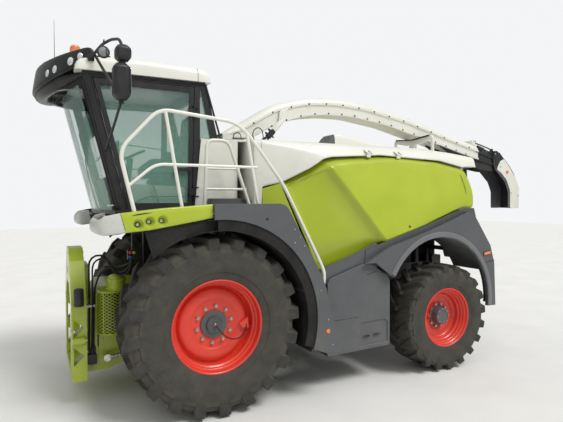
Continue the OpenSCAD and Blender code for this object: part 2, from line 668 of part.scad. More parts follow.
module ram_rod(base, eye, y, r, start, eye_w) {
    along = (eye - base) / norm(eye - base);
    rod([base[0] + start * along[0], y, base[1] + start * along[1]], [eye[0], y, eye[1]] - r * [along[0], 0, along[1]], r);
    axle_shaft(eye[0], eye[1], -y - eye_w / 2, -y + eye_w / 2, 1.7 * r);
}

module spout_cylinder() color(black) from_axle() ram_barrel(ram_base, ram_eye, ram_y, 30, 330, 12, 40);

module spout_rod() color(metal_grey) from_axle() ram_rod(ram_base, ram_eye, ram_y, 16.5, 70, 40);

// Intake.

module intake_housing() color(lime) from_axle() {
    difference() {
        union() {
            xz_slab([[-1230, 330], [-1230, 1150], [-1060, 1330], [-600, 1330], [-150, 1100], [-150, 900], [-300, 640],
                [-700, 430], [-1000, 330]], -intake_half, intake_half);
            yz_bar([[-intake_half, 1100], [intake_half, 1100], [180, 1580], [-180, 1580]], -1230, -1180);
        }
        xz_slab([[-1300, 380], [-1300, 1100], [-1040, 1270], [-620, 1270], [-100, 1040], [-100, 930], [-350, 680],
            [-720, 490], [-1010, 400]], -intake_half + 25, intake_half - 25);
        rod([intake_pivot_x, -500, intake_pivot_z], [intake_pivot_x, 500, intake_pivot_z], 45 + stub_fit);
        for (r = rollers) rod([r[0], -500, r[1]], [r[0], 500, r[1]], 30 + stub_fit);
    }
    rod([coupling_face_x - 5, 0, tilt_z], [-1190, 0, tilt_z], 40);
    both_sides() axle_shaft(lift_eye[0], lift_eye[1], intake_half - 5, -lift_y - 26, 20);
    roller_drive();
}

// The feed rollers' drive on the left: a domed gearbox over a half-round mesh guard and a foot plate.
module roller_drive() {
    difference() {
        translate([-960, -470, 790]) cylinder(h = 500, r = 150);
        translate([-960, -470, 802]) cylinder(h = 476, r = 138);
        box([-1200, -470, 700], [-700, -200, 1400]);
    }
    for (z = [790, 1278]) box([-1110, -471, z], [-810, -intake_half + 1, z + 12]);
    translate([-900, -490, 1289]) {
        cylinder(h = 130, r = 100);
        translate([0, 0, 130]) cylinder(h = 50, r1 = 100, r2 = 55);
    }
    xz_slab([[-1090, 400], [-1090, 760], [-830, 760], [-830, 560]], -intake_half - 12, -intake_half + 1);
}

// The frame that carries the front attachment swings a little on the pin at the intake's head.
module coupling_frame() color(lime) from_axle() difference() {
    yz_bar([[-620, 300], [-620, 1150], [-330, 1640], [-160, 1780], [160, 1780], [330, 1640], [620, 1150], [620, 300]],
        coupling_face_x, -1238);
    yz_bar([[-430, 360], [-430, 1150], [-200, 1360], [200, 1360], [430, 1150], [430, 360]], coupling_face_x - 50, -1200);
    rod([coupling_face_x - 100, 0, tilt_z], [-1200, 0, tilt_z], 40 + stub_fit);
    for (y = [-525, 525]) rod([coupling_face_x - 100, y, 400], [-1200, y, 400], lock_bore_r);
    both_sides() for (z = [480, 800]) xz_slab([[-1378, z], [-1378, z + 210], [-1262, z + 105]], -700, -425);
}

module feed_roller(x, z, r) {
    rod([x, -intake_half + 35, z], [x, intake_half - 35, z], r);
    rod([x, -intake_half + 2, z], [x, intake_half - 2, z], 30);
}

module upper_feed_roller() color(metal_grey) from_axle() feed_roller(rollers[0][0], rollers[0][1], 130);

module lower_feed_roller() color(metal_grey) from_axle() feed_roller(rollers[1][0], rollers[1][1], 120);

// One lift ram stands on each side of the intake.
module lift_cylinders() color(black) from_axle() both_sides()
    ram_barrel(lift_base, lift_eye, lift_y, 45, 520, 18, 50);

module lift_rods() color(metal_grey) from_axle() both_sides()
    ram_rod(lift_base, lift_eye, lift_y, 24.75, 180, 40);

chassis_frame();
body_brackets();
front_axle();
rear_axle();
engine_block();
crop_channel();
cab_shell();
cab_glass();
cab_roof();
roof_visor();
operator_seat();
cab_door();
door_glass();
platforms();
stairs();
handrails();
arch_and_lower_panels();
rear_fenders();
stair_side_panels();
upper_hood();
side_lid(-1);  // side_lid_left
side_lid(1);  // side_lid_right
mirrors();
beacon_and_aerial();
front_rim(-1);  // front_rim_left
front_rim(1);  // front_rim_right
front_tyre(-1);  // front_tyre_left
front_tyre(1);  // front_tyre_right
rear_rim(-1);  // rear_rim_left
rear_rim(1);  // rear_rim_right
rear_tyre(-1);  // rear_tyre_left
rear_tyre(1);  // rear_tyre_right
knuckle(-1);  // knuckle_left
knuckle(1);  // knuckle_right
spout_turret();
spout_arm();
spout_flap();
spout_cylinder();
spout_rod();
intake_housing();
coupling_frame();
upper_feed_roller();
lower_feed_roller();
lift_cylinders();
lift_rods();
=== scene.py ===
import math

import bmesh
import bpy
import numpy as np
from mathutils import Matrix, Vector


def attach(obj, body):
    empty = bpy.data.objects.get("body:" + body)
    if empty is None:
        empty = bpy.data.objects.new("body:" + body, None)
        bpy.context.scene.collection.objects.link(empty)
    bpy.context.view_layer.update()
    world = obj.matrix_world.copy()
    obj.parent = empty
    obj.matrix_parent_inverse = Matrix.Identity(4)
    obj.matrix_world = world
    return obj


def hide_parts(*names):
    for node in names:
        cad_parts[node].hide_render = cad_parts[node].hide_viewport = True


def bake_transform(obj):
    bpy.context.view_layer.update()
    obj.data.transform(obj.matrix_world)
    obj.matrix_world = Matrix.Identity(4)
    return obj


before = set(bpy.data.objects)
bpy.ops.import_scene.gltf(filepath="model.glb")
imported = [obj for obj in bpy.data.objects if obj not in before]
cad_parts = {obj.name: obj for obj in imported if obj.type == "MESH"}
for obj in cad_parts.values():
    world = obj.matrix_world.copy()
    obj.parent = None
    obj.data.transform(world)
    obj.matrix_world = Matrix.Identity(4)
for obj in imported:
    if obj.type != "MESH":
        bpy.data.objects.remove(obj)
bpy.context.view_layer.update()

bpy.context.scene.view_settings.view_transform = "Standard"

# Camera.
# A telephone's wide lens at eye height, ahead of the front left wheel.
camera = bpy.data.objects.new("camera", bpy.data.cameras.new("camera"))
camera.data.lens = 31.326
camera.data.sensor_width = 36.0
yaw, pitch, roll = -0.4638, -0.0218, -0.0038
ahead = Vector((-math.sin(yaw) * math.cos(pitch), math.cos(yaw) * math.cos(pitch), math.sin(pitch)))
level = Vector((math.cos(yaw), math.sin(yaw), 0.0))
upward = level.cross(ahead)
across = level * math.cos(roll) + upward * math.sin(roll)
upward = upward * math.cos(roll) - level * math.sin(roll)
camera.matrix_world = Matrix.Translation((-4.124, -6.566, 2.346)) @ Matrix((across, upward,
        -ahead)).transposed().to_4x4()
bpy.context.scene.collection.objects.link(camera)
bpy.context.scene.camera = camera

# Hydraulic hoses of the intake and the tyre pressure hoses of the front wheels.
# Black rubber over wire braid, crimped at both ends; they loop up stiffly and sag where they lie.
# Sizes are in metres from the front axle's middle; the part's own frame starts further back.
FRONT_AXLE_X = -2.39
SIDES = ((-1, "left"), (1, "right"))


def linear(code):
    """sRGB hex to linear light: c/12.92 below 0.04045, else ((c + 0.055)/1.055) to the power 2.4."""
    c = np.array([int(code[i:i + 2], 16) for i in (1, 3, 5)]) / 255.0
    return tuple(np.where(c <= 0.04045, c / 12.92, ((c + 0.055) / 1.055) ** 2.4)) + (1.0,)


def node(tree, kind, inputs=None, **settings):
    """Adds a shader node, with its settings, and its inputs as values or as links from sockets."""
    made = tree.nodes.new(kind)
    for key, value in settings.items():
        setattr(made, key, value)
    for key, value in (inputs or {}).items():
        if isinstance(value, bpy.types.NodeSocket):
            tree.links.new(value, made.inputs[key])
        else:
            made.inputs[key].default_value = value
    return made


def finish(name, **shader):
    """A material of one Principled shader, whose constant values are set on its own sockets."""
    made = bpy.data.materials.new(name)
    made.use_nodes = True
    bsdf = made.node_tree.nodes["Principled BSDF"]
    for key, value in shader.items():
        bsdf.inputs[key.replace("_", " ")].default_value = value
    return made, made.node_tree, bsdf


def place(tree):
    """Object coordinates in metres."""
    return node(tree, "ShaderNodeTexCoord").outputs["Object"]


def grain(tree, millimetres, detail=3.0, rough=0.6):
    """Noise whose blobs are about this many millimetres across."""
    return node(tree, "ShaderNodeTexNoise",
        {"Vector": place(tree), "Scale": 1000.0 / millimetres, "Detail": detail,
            "Roughness": rough}).outputs["Fac"]


def between(tree, factor, low, high, out_low=0.0, out_high=1.0):
    """Maps a factor from low..high onto two values and clamps it."""
    return node(tree, "ShaderNodeMapRange",
        {"Value": factor, "From Min": low, "From Max": high, "To Min": out_low,
            "To Max": out_high}).outputs["Result"]


def blended(tree, factor, first, second):
    """Two colours mixed by a factor; each is a hex code or a socket."""
    pick = [linear(c) if isinstance(c, str) else c for c in (first, second)]
    return node(tree, "ShaderNodeMix", {0: factor, 6: pick[0], 7: pick[1]}, data_type="RGBA").outputs[2]


def relief(tree, bsdf, height, millimetres, strength=1.0):
    """Bump of this many millimetres under a shader."""
    bump = node(tree, "ShaderNodeBump",
        {"Height": height, "Distance": millimetres / 1000.0, "Strength": strength})
    tree.links.new(bump.outputs["Normal"], bsdf.inputs["Normal"])


def product(tree, first, second):
    return node(tree, "ShaderNodeMath", {0: first, 1: second}, operation="MULTIPLY").outputs[0]


def hose_rubber():
    """Nitrile rubber hose: dull black with a fine cloth print and dust in patches."""
    made, tree, bsdf = finish("hose_rubber", Roughness=0.5, Specular_IOR_Level=0.35)
    colour = blended(tree, between(tree, grain(tree, 60), 0.45, 0.75, 0.0, 0.5), "#1b1b1c", "#4b4840")
    tree.links.new(colour, bsdf.inputs["Base Color"])
    relief(tree, bsdf, grain(tree, 3.0), 0.3)
    return made


HOSE_RUBBER = hose_rubber()


def smooth_path(points, count):
    """A Catmull-Rom curve through the points, resampled at equal steps of its length."""
    p = np.array(points, float)
    p = np.vstack([2 * p[0] - p[1], p, 2 * p[-1] - p[-2]])
    t = np.linspace(0, 1, 24)[:, None, None]
    a, b, c, d = p[:-3], p[1:-2], p[2:-1], p[3:]
    curve = 0.5 * (2 * b + (c - a) * t + (2 * a - 5 * b + 4 * c - d) * t ** 2 + (3 * b - a - 3 * c + d)
        * t ** 3)
    curve = curve.transpose(1, 0, 2).reshape(-1, 3)
    run = np.concatenate([[0], np.cumsum(np.linalg.norm(np.diff(curve, axis=0), axis=1))])
    at = np.linspace(0, run[-1], count)
    return np.stack([np.interp(at, run, curve[:, k]) for k in range(3)], 1)


def loft(rings, capped=True):
    """Closed rings of equal count joined by quads, with a flat face on each end."""
    rings = np.asarray(rings, float)
    m, n = rings.shape[:2]
    i, j = np.meshgrid(np.arange(m - 1), np.arange(n), indexing="ij")
    quads = np.stack([i * n + j, i * n + (j + 1) % n, (i + 1) * n + (j + 1) % n, (i + 1) * n + j],
        -1).reshape(-1, 4)
    faces = quads.tolist()
    if capped:
        faces += [list(range(n - 1, -1, -1)), list(range((m - 1) * n, m * n))]
    return rings.reshape(-1, 3), faces


def pipe(path, radius, sides=12):
    """A circle carried along a path; each frame is the last one turned by the least angle."""
    p = np.array(path, float)
    along = np.gradient(p, axis=0)
    along /= np.linalg.norm(along, axis=1)[:, None]
    side = np.cross(along[0], [0.3, 0.2, 0.93])
    frames = []
    for a in along:
        side = side - a * (side @ a)
        side = side / np.linalg.norm(side)
        frames.append(side)
    frames = np.array(frames)
    other = np.cross(along, frames)
    turn = 2 * np.pi * np.arange(sides) / sides
    radius = np.broadcast_to(radius, len(p))[:, None, None]
    ring = np.cos(turn)[None, :, None] * frames[:, None] + np.sin(turn)[None, :, None] * other[:, None]
    return loft(p[:, None] + radius * ring)


def piece(name, shells, material, body, replaces=(), crease=35.0, bevel=0.0, solid=0.0,
        outward=True, mirror=False):
    """Joins shells of (points, faces) into one piece, finishes its edges and rides it on a body."""
    points, faces, count = [], [], 0
    for verts, polygons in shells:
        verts = np.asarray(verts, float)
        for flip in ((1,) if not mirror else (1, -1)):
            points.append(verts * [1, flip, 1])
            faces += [[v + count for v in (f if flip == 1 else f[::-1])] for f in polygons]
            count += len(verts)
    points = np.vstack(points) + [FRONT_AXLE_X, 0, 0]
    mesh = bpy.data.meshes.new(name)
    mesh.from_pydata(points, [], faces)
    if outward:
        work = bmesh.new()
        work.from_mesh(mesh)
        bmesh.ops.recalc_face_normals(work, faces=work.faces)
        work.to_mesh(mesh)
        work.free()
    mesh.shade_smooth()
    mesh.set_sharp_from_angle(angle=math.radians(crease))
    made = bpy.data.objects.new(name, mesh)
    bpy.context.scene.collection.objects.link(made)
    mesh.materials.append(material)
    if solid:
        wall = made.modifiers.new("wall", "SOLIDIFY")
        wall.thickness, wall.offset = abs(solid), -1.0 if solid > 0 else 1.0
    if bevel:
        edge = made.modifiers.new("edge", "BEVEL")
        edge.width, edge.segments, edge.angle_limit = bevel, 2, math.radians(30)
    if body:
        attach(made, body)
    if replaces:
        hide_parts(*replaces)
    return made


def hose(name, points, diameter, body, blend_to=None, count=30):
    """A free hose on a smooth route."""
    path = smooth_path(points, count)
    made = piece(name, [pipe(path, diameter / 2)], HOSE_RUBBER, None if blend_to else body,
        outward=False)
    if blend_to:
        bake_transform(made)
    return made


# The two drive hoses rise along the intake's wall, loop over and turn up into the couplers under the deck.
for number, (x, y, drop, width) in enumerate([(0.0, 0.0, 0.0, 0.024), (0.034, -0.036, 0.036, 0.021)]):
    hose("intake_hose_%d" % (number + 1),
        [(-1.205 + x, -0.424 + 0.3 * y, 0.54), (-1.2 + x, -0.426 + 0.5 * y, 0.8),
            (-1.195 + x, -0.43 + y, 1.1), (-1.195 + x, -0.44 + y, 1.4),
            (-1.194 + x, -0.452 + y, 1.605 - drop), (-1.163 + x, -0.464 + y, 1.679 - drop),
            (-1.089 + x, -0.48 + y, 1.711 - drop), (-1.014 + x, -0.5 + y, 1.68 - drop),
            (-0.983 + x, -0.53 + y, 1.61 - drop), (-0.955 + 0.9 * x, -0.57 + y, 1.545 - 0.9 * drop),
            (-0.878 + 0.6 * x, -0.61 + y, 1.51 - 0.9 * drop),
            (-0.8 + 0.2 * x, -0.655 + y, 1.545 - 0.8 * drop), (-0.766, -0.69 + y, 1.62 - 0.5 * drop),
            (-0.76, -0.7 + y, 1.68)], width, "intake", blend_to="machine", count=36)
hose("intake_hose_3", [(-1.15, -0.418, 0.6), (-1.146, -0.42, 0.9), (-1.14, -0.424, 1.18),
        (-1.12, -0.436, 1.36), (-1.07, -0.47, 1.49), (-0.99, -0.52, 1.56), (-0.9, -0.58, 1.575),
        (-0.81, -0.64, 1.6), (-0.745, -0.69, 1.65), (-0.715, -0.715, 1.7)], 0.022, "intake",
    blend_to="machine")
for side, hand in SIDES:
    hose("hub_hose_" + hand, [(0.0, side * 1.475, 0.985), (0.02, side * 1.5, 0.955),
            (0.06, side * 1.515, 0.9), (0.12, side * 1.515, 0.845), (0.2, side * 1.51, 0.815),
            (0.28, side * 1.5, 0.825), (0.34, side * 1.485, 0.87), (0.365, side * 1.47, 0.93),
            (0.37, side * 1.46, 0.985)], 0.014, "front_wheel_" + hand, count=24)

# Floor, backdrop and light.
# A pale studio floor under one wide soft light and an even sky.
def studio_floor():
    made, tree, bsdf = finish("studio_floor", Roughness=0.85)
    colour = blended(tree, between(tree, grain(tree, 900, 2.0), 0.3, 0.7), "#e6e5e1", "#e0dfdb")
    tree.links.new(colour, bsdf.inputs["Base Color"])
    return made


span = np.array([[-40, -40, 0], [40, -40, 0], [40, 40, 0], [-40, 40, 0]], float)
floor_mesh = bpy.data.meshes.new("floor")
floor_mesh.from_pydata(span, [], [[0, 1, 2, 3]])
floor_mesh.materials.append(studio_floor())
floor = bpy.data.objects.new("floor", floor_mesh)
bpy.context.scene.collection.objects.link(floor)

world = bpy.data.worlds.new("studio")
bpy.context.scene.world = world
world.use_nodes = True
sky = world.node_tree
sky.nodes.clear()
rays = node(sky, "ShaderNodeLightPath").outputs
seen = node(sky, "ShaderNodeMath", {0: rays["Is Camera Ray"], 1: rays["Is Transmission Ray"]},
    operation="MAXIMUM")
height = node(sky, "ShaderNodeSeparateXYZ",
    {0: node(sky, "ShaderNodeTexCoord").outputs["Generated"]}).outputs["Z"]
cloud = blended(sky, between(sky, height, -0.05, 0.9), "#9fa3a6", "#ffffff")
lit = node(sky, "ShaderNodeBackground", {"Color": cloud, "Strength": 0.8})
white = node(sky, "ShaderNodeBackground", {"Color": linear("#f4f5f6"), "Strength": 1.0})
both = node(sky, "ShaderNodeMixShader", {0: seen.outputs[0], 1: lit.outputs[0], 2: white.outputs[0]})
node(sky, "ShaderNodeOutputWorld", {"Surface": both.outputs[0]})

sun = bpy.data.objects.new("soft_sun", bpy.data.lights.new("soft_sun", "SUN"))
sun.data.energy, sun.data.angle = 1.9, math.radians(22)
sun.rotation_euler = Vector((0.35, -0.62, 0.95)).to_track_quat("Z", "Y").to_euler()
bpy.context.scene.collection.objects.link(sun)


# Tyres.
# Radial drive tyres with chevron lugs: hard black rubber, moulded, dusted brown in the grooves.
def tyre_rubber():
    """Worn rubber: dark lug tops, dusty brown grooves and sidewalls, by the piece's own soil value."""
    made, tree, bsdf = finish("tyre_rubber", Roughness=0.75, Specular_IOR_Level=0.3)
    soil = node(tree, "ShaderNodeAttribute", attribute_name="soil").outputs["Fac"]
    patches = between(tree, grain(tree, 160, 5.0, 0.7), 0.3, 0.72)
    dusty = product(tree, between(tree, node(tree, "ShaderNodeMath", {0: soil, 1: patches}).outputs[0], 0.3,
            1.6), 0.9)
    clean = blended(tree, grain(tree, 20), "#2f2f2f", "#3c3b39")
    colour = blended(tree, dusty, clean, "#58544a")
    fine = between(tree, grain(tree, 9, 4.0), 0.35, 0.75, 0.0, 0.35)
    tree.links.new(blended(tree, fine, colour, "#403f3b"), bsdf.inputs["Base Color"])
    relief(tree, bsdf, grain(tree, 14, 5.0, 0.7), 2.0, 0.6)
    return made


TYRE_RUBBER = tyre_rubber()
LUGS = 20
# Each row: the carcass (share of the width, lug heights below the tip), then the lug's surface likewise.
TREAD = np.array([[0.0, 1.0, 0.0, 0.0], [0.015, 1.0, 0.015, 0.0], [0.045, 1.0, 0.045, 0.0],
        [0.1, 1.0, 0.1, 0.01], [0.18, 1.02, 0.18, 0.03], [0.26, 1.06, 0.26, 0.07], [0.34, 1.13, 0.34, 0.13],
        [0.405, 1.3, 0.42, 0.22], [0.438, 1.55, 0.468, 0.3], [0.452, 1.85, 0.494, 0.48],
        [0.462, 2.2, 0.5, 1.05], [0.47, 2.6, 0.497, 1.95], [0.478, 3.0, 0.486, 2.9]])
# Sidewall and inner face: share of the width, share of the way from bead to tip.
WALL = np.array([[0.487, 0.7], [0.495, 0.6], [0.5, 0.48], [0.499, 0.4], [0.494, 0.31], [0.485, 0.23],
        [0.481, 0.2], [0.474, 0.195], [0.462, 0.12], [0.449, 0.05], [0.438, 0.02], [0.429, 0.0], [0.37, 0.0],
        [0.43, 0.22], [0.425, 0.55], [0.3, 0.72]])


def tyre_surface(radius, width, bead, lug):
    """A ring of carcass profile; each point moves toward the lug profile by how far it is inside a lug.

    Round the tyre the samples stand at the lugs' edges and lean with them; left and right lugs alternate, and
    each is 1.75 times as wide at its shoulder as at the tyre's middle."""
    phase = np.array([0, .05, .115, .16, .22, .28, .34, .385, .45, .5, .55, .615, .66, .72, .78, .84, .885,
            .95])
    around = (np.arange(LUGS)[:, None] + phase).ravel()
    phase = np.tile(phase, LUGS)
    tall = radius - bead
    half = np.vstack([np.c_[TREAD[:, 0] * width, radius - TREAD[:, 1] * lug, TREAD[:, 2] * width,
                radius - TREAD[:, 3] * lug], np.c_[WALL[:, 0] * width, bead + WALL[:, 1] * tall,
                WALL[:, 0] * width, bead + WALL[:, 1] * tall]])
    other = half[:0:-1] * [-1, 1, -1, 1]
    profile = np.vstack([half, other])
    share = np.clip(np.abs(profile[:, 0]) / width, 0, 0.495)
    lean = np.interp(share, [0, 0.3, 0.495], [0.36, -0.13, -0.33])
    a = profile[:, 0] / width
    left = np.interp(np.minimum(phase, 1 - phase), [0.115, 0.16], [1, 0])[:, None] * np.interp(-a,
        [-0.045, -0.015], [0, 1])
    right = np.interp(np.abs(phase - 0.5), [0.115, 0.16], [1, 0])[:, None] * np.interp(a, [-0.045, -0.015],
        [0, 1])
    inside = np.maximum(left, right)
    swell = np.interp(np.abs(a), [0.1, 0.45], [1.0, 1.75])[None]
    off = (phase[:, None] + np.where(a < 0, 0.5, 0.0)[None]) % 1 - 0.5
    near = np.abs(off)
    wide = np.where(near < 0.16, near * swell, 0.16 * swell + (near - 0.16) * (0.5 - 0.16 * swell) / 0.34)
    angle = 2 * np.pi * (around[:, None] + np.sign(off) * (wide - near) + lean[None]) / LUGS
    y = profile[:, 0] + inside * (profile[:, 2] - profile[:, 0])
    r = profile[:, 1] + inside * (profile[:, 3] - profile[:, 1])
    points = np.stack([r * np.cos(angle), np.broadcast_to(y, r.shape), r * np.sin(angle)], -1)
    m, n = r.shape
    i, j = np.meshgrid(np.arange(m), np.arange(n), indexing="ij")
    quads = np.stack([i * n + j, ((i + 1) % m) * n + j, ((i + 1) % m) * n + (j + 1) % n, i * n + (j + 1) % n],
        -1)
    soil = np.where(r < bead + 0.66 * tall, 0.45, 0.95 - 0.85 * inside)
    return points.reshape(-1, 3), quads.reshape(-1, 4).tolist(), soil.ravel()


WHEELS = {"front": dict(x=0.0, track=2.45, radius=0.985, width=0.8, bead=0.5, lug=0.055),
    "rear": dict(x=3.3, track=2.69, radius=0.728, width=0.54, bead=0.392, lug=0.042)}


def on_wheel(shells, axle, side):
    """Shells drawn about a wheel (x, outward from the tyre's middle, z about the axle), set in place."""
    w = WHEELS[axle]
    return [(np.stack([points[:, 0] + w["x"], side * (points[:, 1] + w["track"] / 2),
                    points[:, 2] + w["radius"]], 1), faces) for points, faces in shells]


for axle, w in WHEELS.items():
    points, faces, soil = tyre_surface(w["radius"], w["width"], w["bead"], w["lug"])
    for side, hand in SIDES:
        tyre = piece("%s_tyre_rubber_%s" % (axle, hand), on_wheel([(points, faces)], axle, side), TYRE_RUBBER,
            "%s_wheel_%s" % (axle, hand), ["%s_tyre_%s" % (axle, hand)], crease=28)
        tyre.data.attributes.new("soil", "FLOAT", "POINT").data.foreach_set("value", soil)


# Rims, hub caps, wheel nuts and the pressure line's bracket.
# Pressed and welded steel, powder coated red; zinc plated nuts round a dark grey cap.
def gloss_enamel(name, colour, deep, dust="#8b8272", low=0.0, rough=0.28, soiled=0.35):
    """Sprayed enamel: a faint drift of tone, a gloss coat, orange peel, and dust that thins out upward."""
    made, tree, bsdf = finish(name, Roughness=rough, Coat_Weight=0.35, Coat_Roughness=0.12)
    tone = blended(tree, between(tree, grain(tree, 700, 2.0), 0.3, 0.7), colour, deep)
    rise = node(tree, "ShaderNodeSeparateXYZ", {0: place(tree)}).outputs["Z"]
    film = product(tree, between(tree, rise, low, low + 1.1, soiled, 0.03),
        between(tree, grain(tree, 130, 6.0, 0.7), 0.35, 0.75))
    tree.links.new(blended(tree, film, tone, dust), bsdf.inputs["Base Color"])
    tree.links.new(between(tree, grain(tree, 45, 4.0), 0.3, 0.8, rough, rough + 0.16),
        bsdf.inputs["Roughness"])
    relief(tree, bsdf, grain(tree, 5.0, 2.0), 0.12, 0.5)
    return made


def plain_metal(name, colour, rough, spot=12.0):
    """Plated or bare metal: roughness and tone vary in small spots."""
    made, tree, bsdf = finish(name, Metallic=1.0)
    tree.links.new(blended(tree, grain(tree, spot), colour, "#8d8c88"), bsdf.inputs["Base Color"])
    tree.links.new(between(tree, grain(tree, 2 * spot), 0.3, 0.7, rough, rough + 0.2),
        bsdf.inputs["Roughness"])
    relief(tree, bsdf, grain(tree, spot / 4), 0.05)
    return made


def satin(name, colour, worn, rough=0.5, texture=1.6, soiled=0.5, low=0.0):
    """Satin paint or moulded plastic: fine leather-like grain, dusty low down and on patches."""
    made, tree, bsdf = finish(name, Roughness=rough, Specular_IOR_Level=0.4)
    rise = node(tree, "ShaderNodeSeparateXYZ", {0: place(tree)}).outputs["Z"]
    film = product(tree, between(tree, rise, low, low + 1.6, soiled, 0.08),
        between(tree, grain(tree, 220, 5.0, 0.65), 0.35, 0.8))
    tone = blended(tree, between(tree, grain(tree, 500, 2.0), 0.3, 0.7, 0.0, 0.6), colour, worn)
    tree.links.new(blended(tree, film, tone, "#8a8375"), bsdf.inputs["Base Color"])
    tree.links.new(between(tree, grain(tree, 60, 3.0), 0.3, 0.8, rough - 0.06, rough + 0.12),
        bsdf.inputs["Roughness"])
    relief(tree, bsdf, grain(tree, texture * 2, 3.0), 0.15, 0.5)
    return made


RIM_ENAMEL = gloss_enamel("red_powder_coat", "#e23a25", "#d5301e", dust="#a3705c", rough=0.33, soiled=0.4)
CAP_PAINT = satin("hub_cap_paint", "#55585a", "#4b4d4f", rough=0.45)
ZINC = plain_metal("zinc_plate", "#c9c8c2", 0.32)


def turned(profile, count=72):
    """A profile of (radius, distance along Y) spun about Y, its two ends closed flat."""
    p = np.array(profile, float)
    turn = 2 * np.pi * np.arange(count) / count
    rings = np.stack([p[:, :1] * np.cos(turn), np.broadcast_to(p[:, 1:], (len(p), count)),
            p[:, :1] * np.sin(turn)], -1)
    return loft(rings, capped=True)


def closed_turned(profile, count=72):
    """A closed profile loop spun about Y into a ring."""
    p = np.array(profile, float)
    turn = 2 * np.pi * np.arange(count) / count
    points = np.stack([p[:, :1] * np.cos(turn), np.broadcast_to(p[:, 1:], (len(p), count)),
            p[:, :1] * np.sin(turn)], -1)
    m, n = len(p), count
    i, j = np.meshgrid(np.arange(m), np.arange(n), indexing="ij")
    quads = np.stack([i * n + j, i * n + (j + 1) % n, ((i + 1) % m) * n + (j + 1) % n, ((i + 1) % m) * n + j],
        -1)
    return points.reshape(-1, 3), quads.reshape(-1, 4).tolist()


def nuts(count, circle, y0, y1, across_flats, start=0.0):
    """Hexagon nuts on round collars, evenly spaced on a circle about Y."""
    shells = []
    for i in range(count):
        angle = start + 2 * np.pi * i / count
        centre = np.array([circle * np.cos(angle), 0, circle * np.sin(angle)])
        for sides, radius, low, high in ((12, 1.35 * across_flats / 2, y0, y0 + 0.3 * (y1 - y0)),
                (6, 0.577 * across_flats, y0, 0.93 * y1 + 0.07 * y0), (8, 0.25 * across_flats, y0, y1)):
            verts, faces = turned([(radius, low), (radius, high)], sides)
            shells.append((verts + centre, faces))
    return shells


RIM_FRONT = [(0.499, 0.343), (0.51, 0.3445), (0.5135, 0.349), (0.512, 0.355), (0.504, 0.3585), (0.494, 0.355),
    (0.4885, 0.346), (0.4865, 0.33), (0.4855, 0.3), (0.481, 0.29), (0.47, 0.286), (0.464, 0.279),
    (0.463, 0.262), (0.458, 0.254), (0.447, 0.25), (0.441, 0.243), (0.44, 0.215), (0.438, 0.17), (0.43, 0.16),
    (0.418, 0.161), (0.408, 0.172), (0.398, 0.19), (0.38, 0.203), (0.35, 0.21), (0.312, 0.211),
    (0.285, 0.207), (0.268, 0.197), (0.256, 0.19), (0.06, 0.19), (0.06, 0.176), (0.24, 0.176), (0.3, 0.19),
    (0.395, 0.16), (0.42, 0.14), (0.465, 0.13), (0.484, 0.0), (0.484, -0.343), (0.51, -0.3445),
    (0.512, -0.356), (0.5, -0.356), (0.499, -0.343)]
RIM_REAR = [(0.391, 0.232), (0.401, 0.2335), (0.4045, 0.238), (0.402, 0.244), (0.394, 0.2465), (0.385, 0.243),
    (0.38, 0.234), (0.378, 0.215), (0.372, 0.207), (0.362, 0.203), (0.357, 0.195), (0.356, 0.178),
    (0.35, 0.17), (0.341, 0.167), (0.336, 0.158), (0.335, 0.14), (0.329, 0.132), (0.32, 0.129), (0.314, 0.12),
    (0.312, 0.085), (0.304, 0.068), (0.285, 0.058), (0.255, 0.06), (0.225, 0.064), (0.205, 0.06),
    (0.195, 0.052), (0.06, 0.05), (0.06, 0.036), (0.19, 0.036), (0.29, 0.042), (0.325, 0.06), (0.366, 0.1),
    (0.376, 0.0), (0.376, -0.232), (0.401, -0.2335), (0.402, -0.246), (0.391, -0.246), (0.391, -0.232)]
for side, hand in SIDES:
    front, rear = "front_wheel_" + hand, "rear_wheel_" + hand
    rim = closed_turned(RIM_FRONT, 96)
    bracket = loft([[(0.335 + dx, y, -0.015 + dz) for dx, dz in ((-0.05, 0.0), (0.05, 0.06), (0.06, -0.06),
                    (-0.02, -0.05))] for y in (0.2, 0.243, 0.246)])
    piece("front_rim_shell_" + hand, on_wheel([rim, bracket], "front", side), RIM_ENAMEL, front,
        ["front_rim_" + hand], crease=40)
    cap = turned([(0.155, 0.19), (0.155, 0.199), (0.15, 0.206), (0.12, 0.21), (0.04, 0.212)], 48)
    piece("front_hub_cap_" + hand, on_wheel([cap], "front", side), CAP_PAINT, front)
    fitting = turned([(0.022, 0.21), (0.022, 0.228), (0.015, 0.232), (0.015, 0.25), (0.01, 0.254)], 16)
    piece("front_wheel_nuts_" + hand,
        on_wheel(nuts(10, 0.2, 0.19, 0.219, 0.032, 0.2) + [fitting], "front", side), ZINC, front,
        crease=25)
    rim = closed_turned(RIM_REAR, 80)
    piece("rear_rim_shell_" + hand, on_wheel([rim], "rear", side), RIM_ENAMEL, rear,
        ["rear_rim_" + hand], crease=40)
    drum = turned([(0.14, 0.05), (0.14, 0.058), (0.12, 0.064), (0.116, 0.13), (0.112, 0.158), (0.104, 0.163),
            (0.085, 0.164), (0.08, 0.16), (0.03, 0.16)], 48)
    piece("rear_hub_drum_" + hand, on_wheel([drum], "rear", side), CAP_PAINT, rear)
    piece("rear_wheel_nuts_" + hand,
        on_wheel(nuts(10, 0.158, 0.052, 0.08, 0.028) + nuts(8, 0.096, 0.16, 0.172, 0.016), "rear", side),
        ZINC, rear, crease=25)

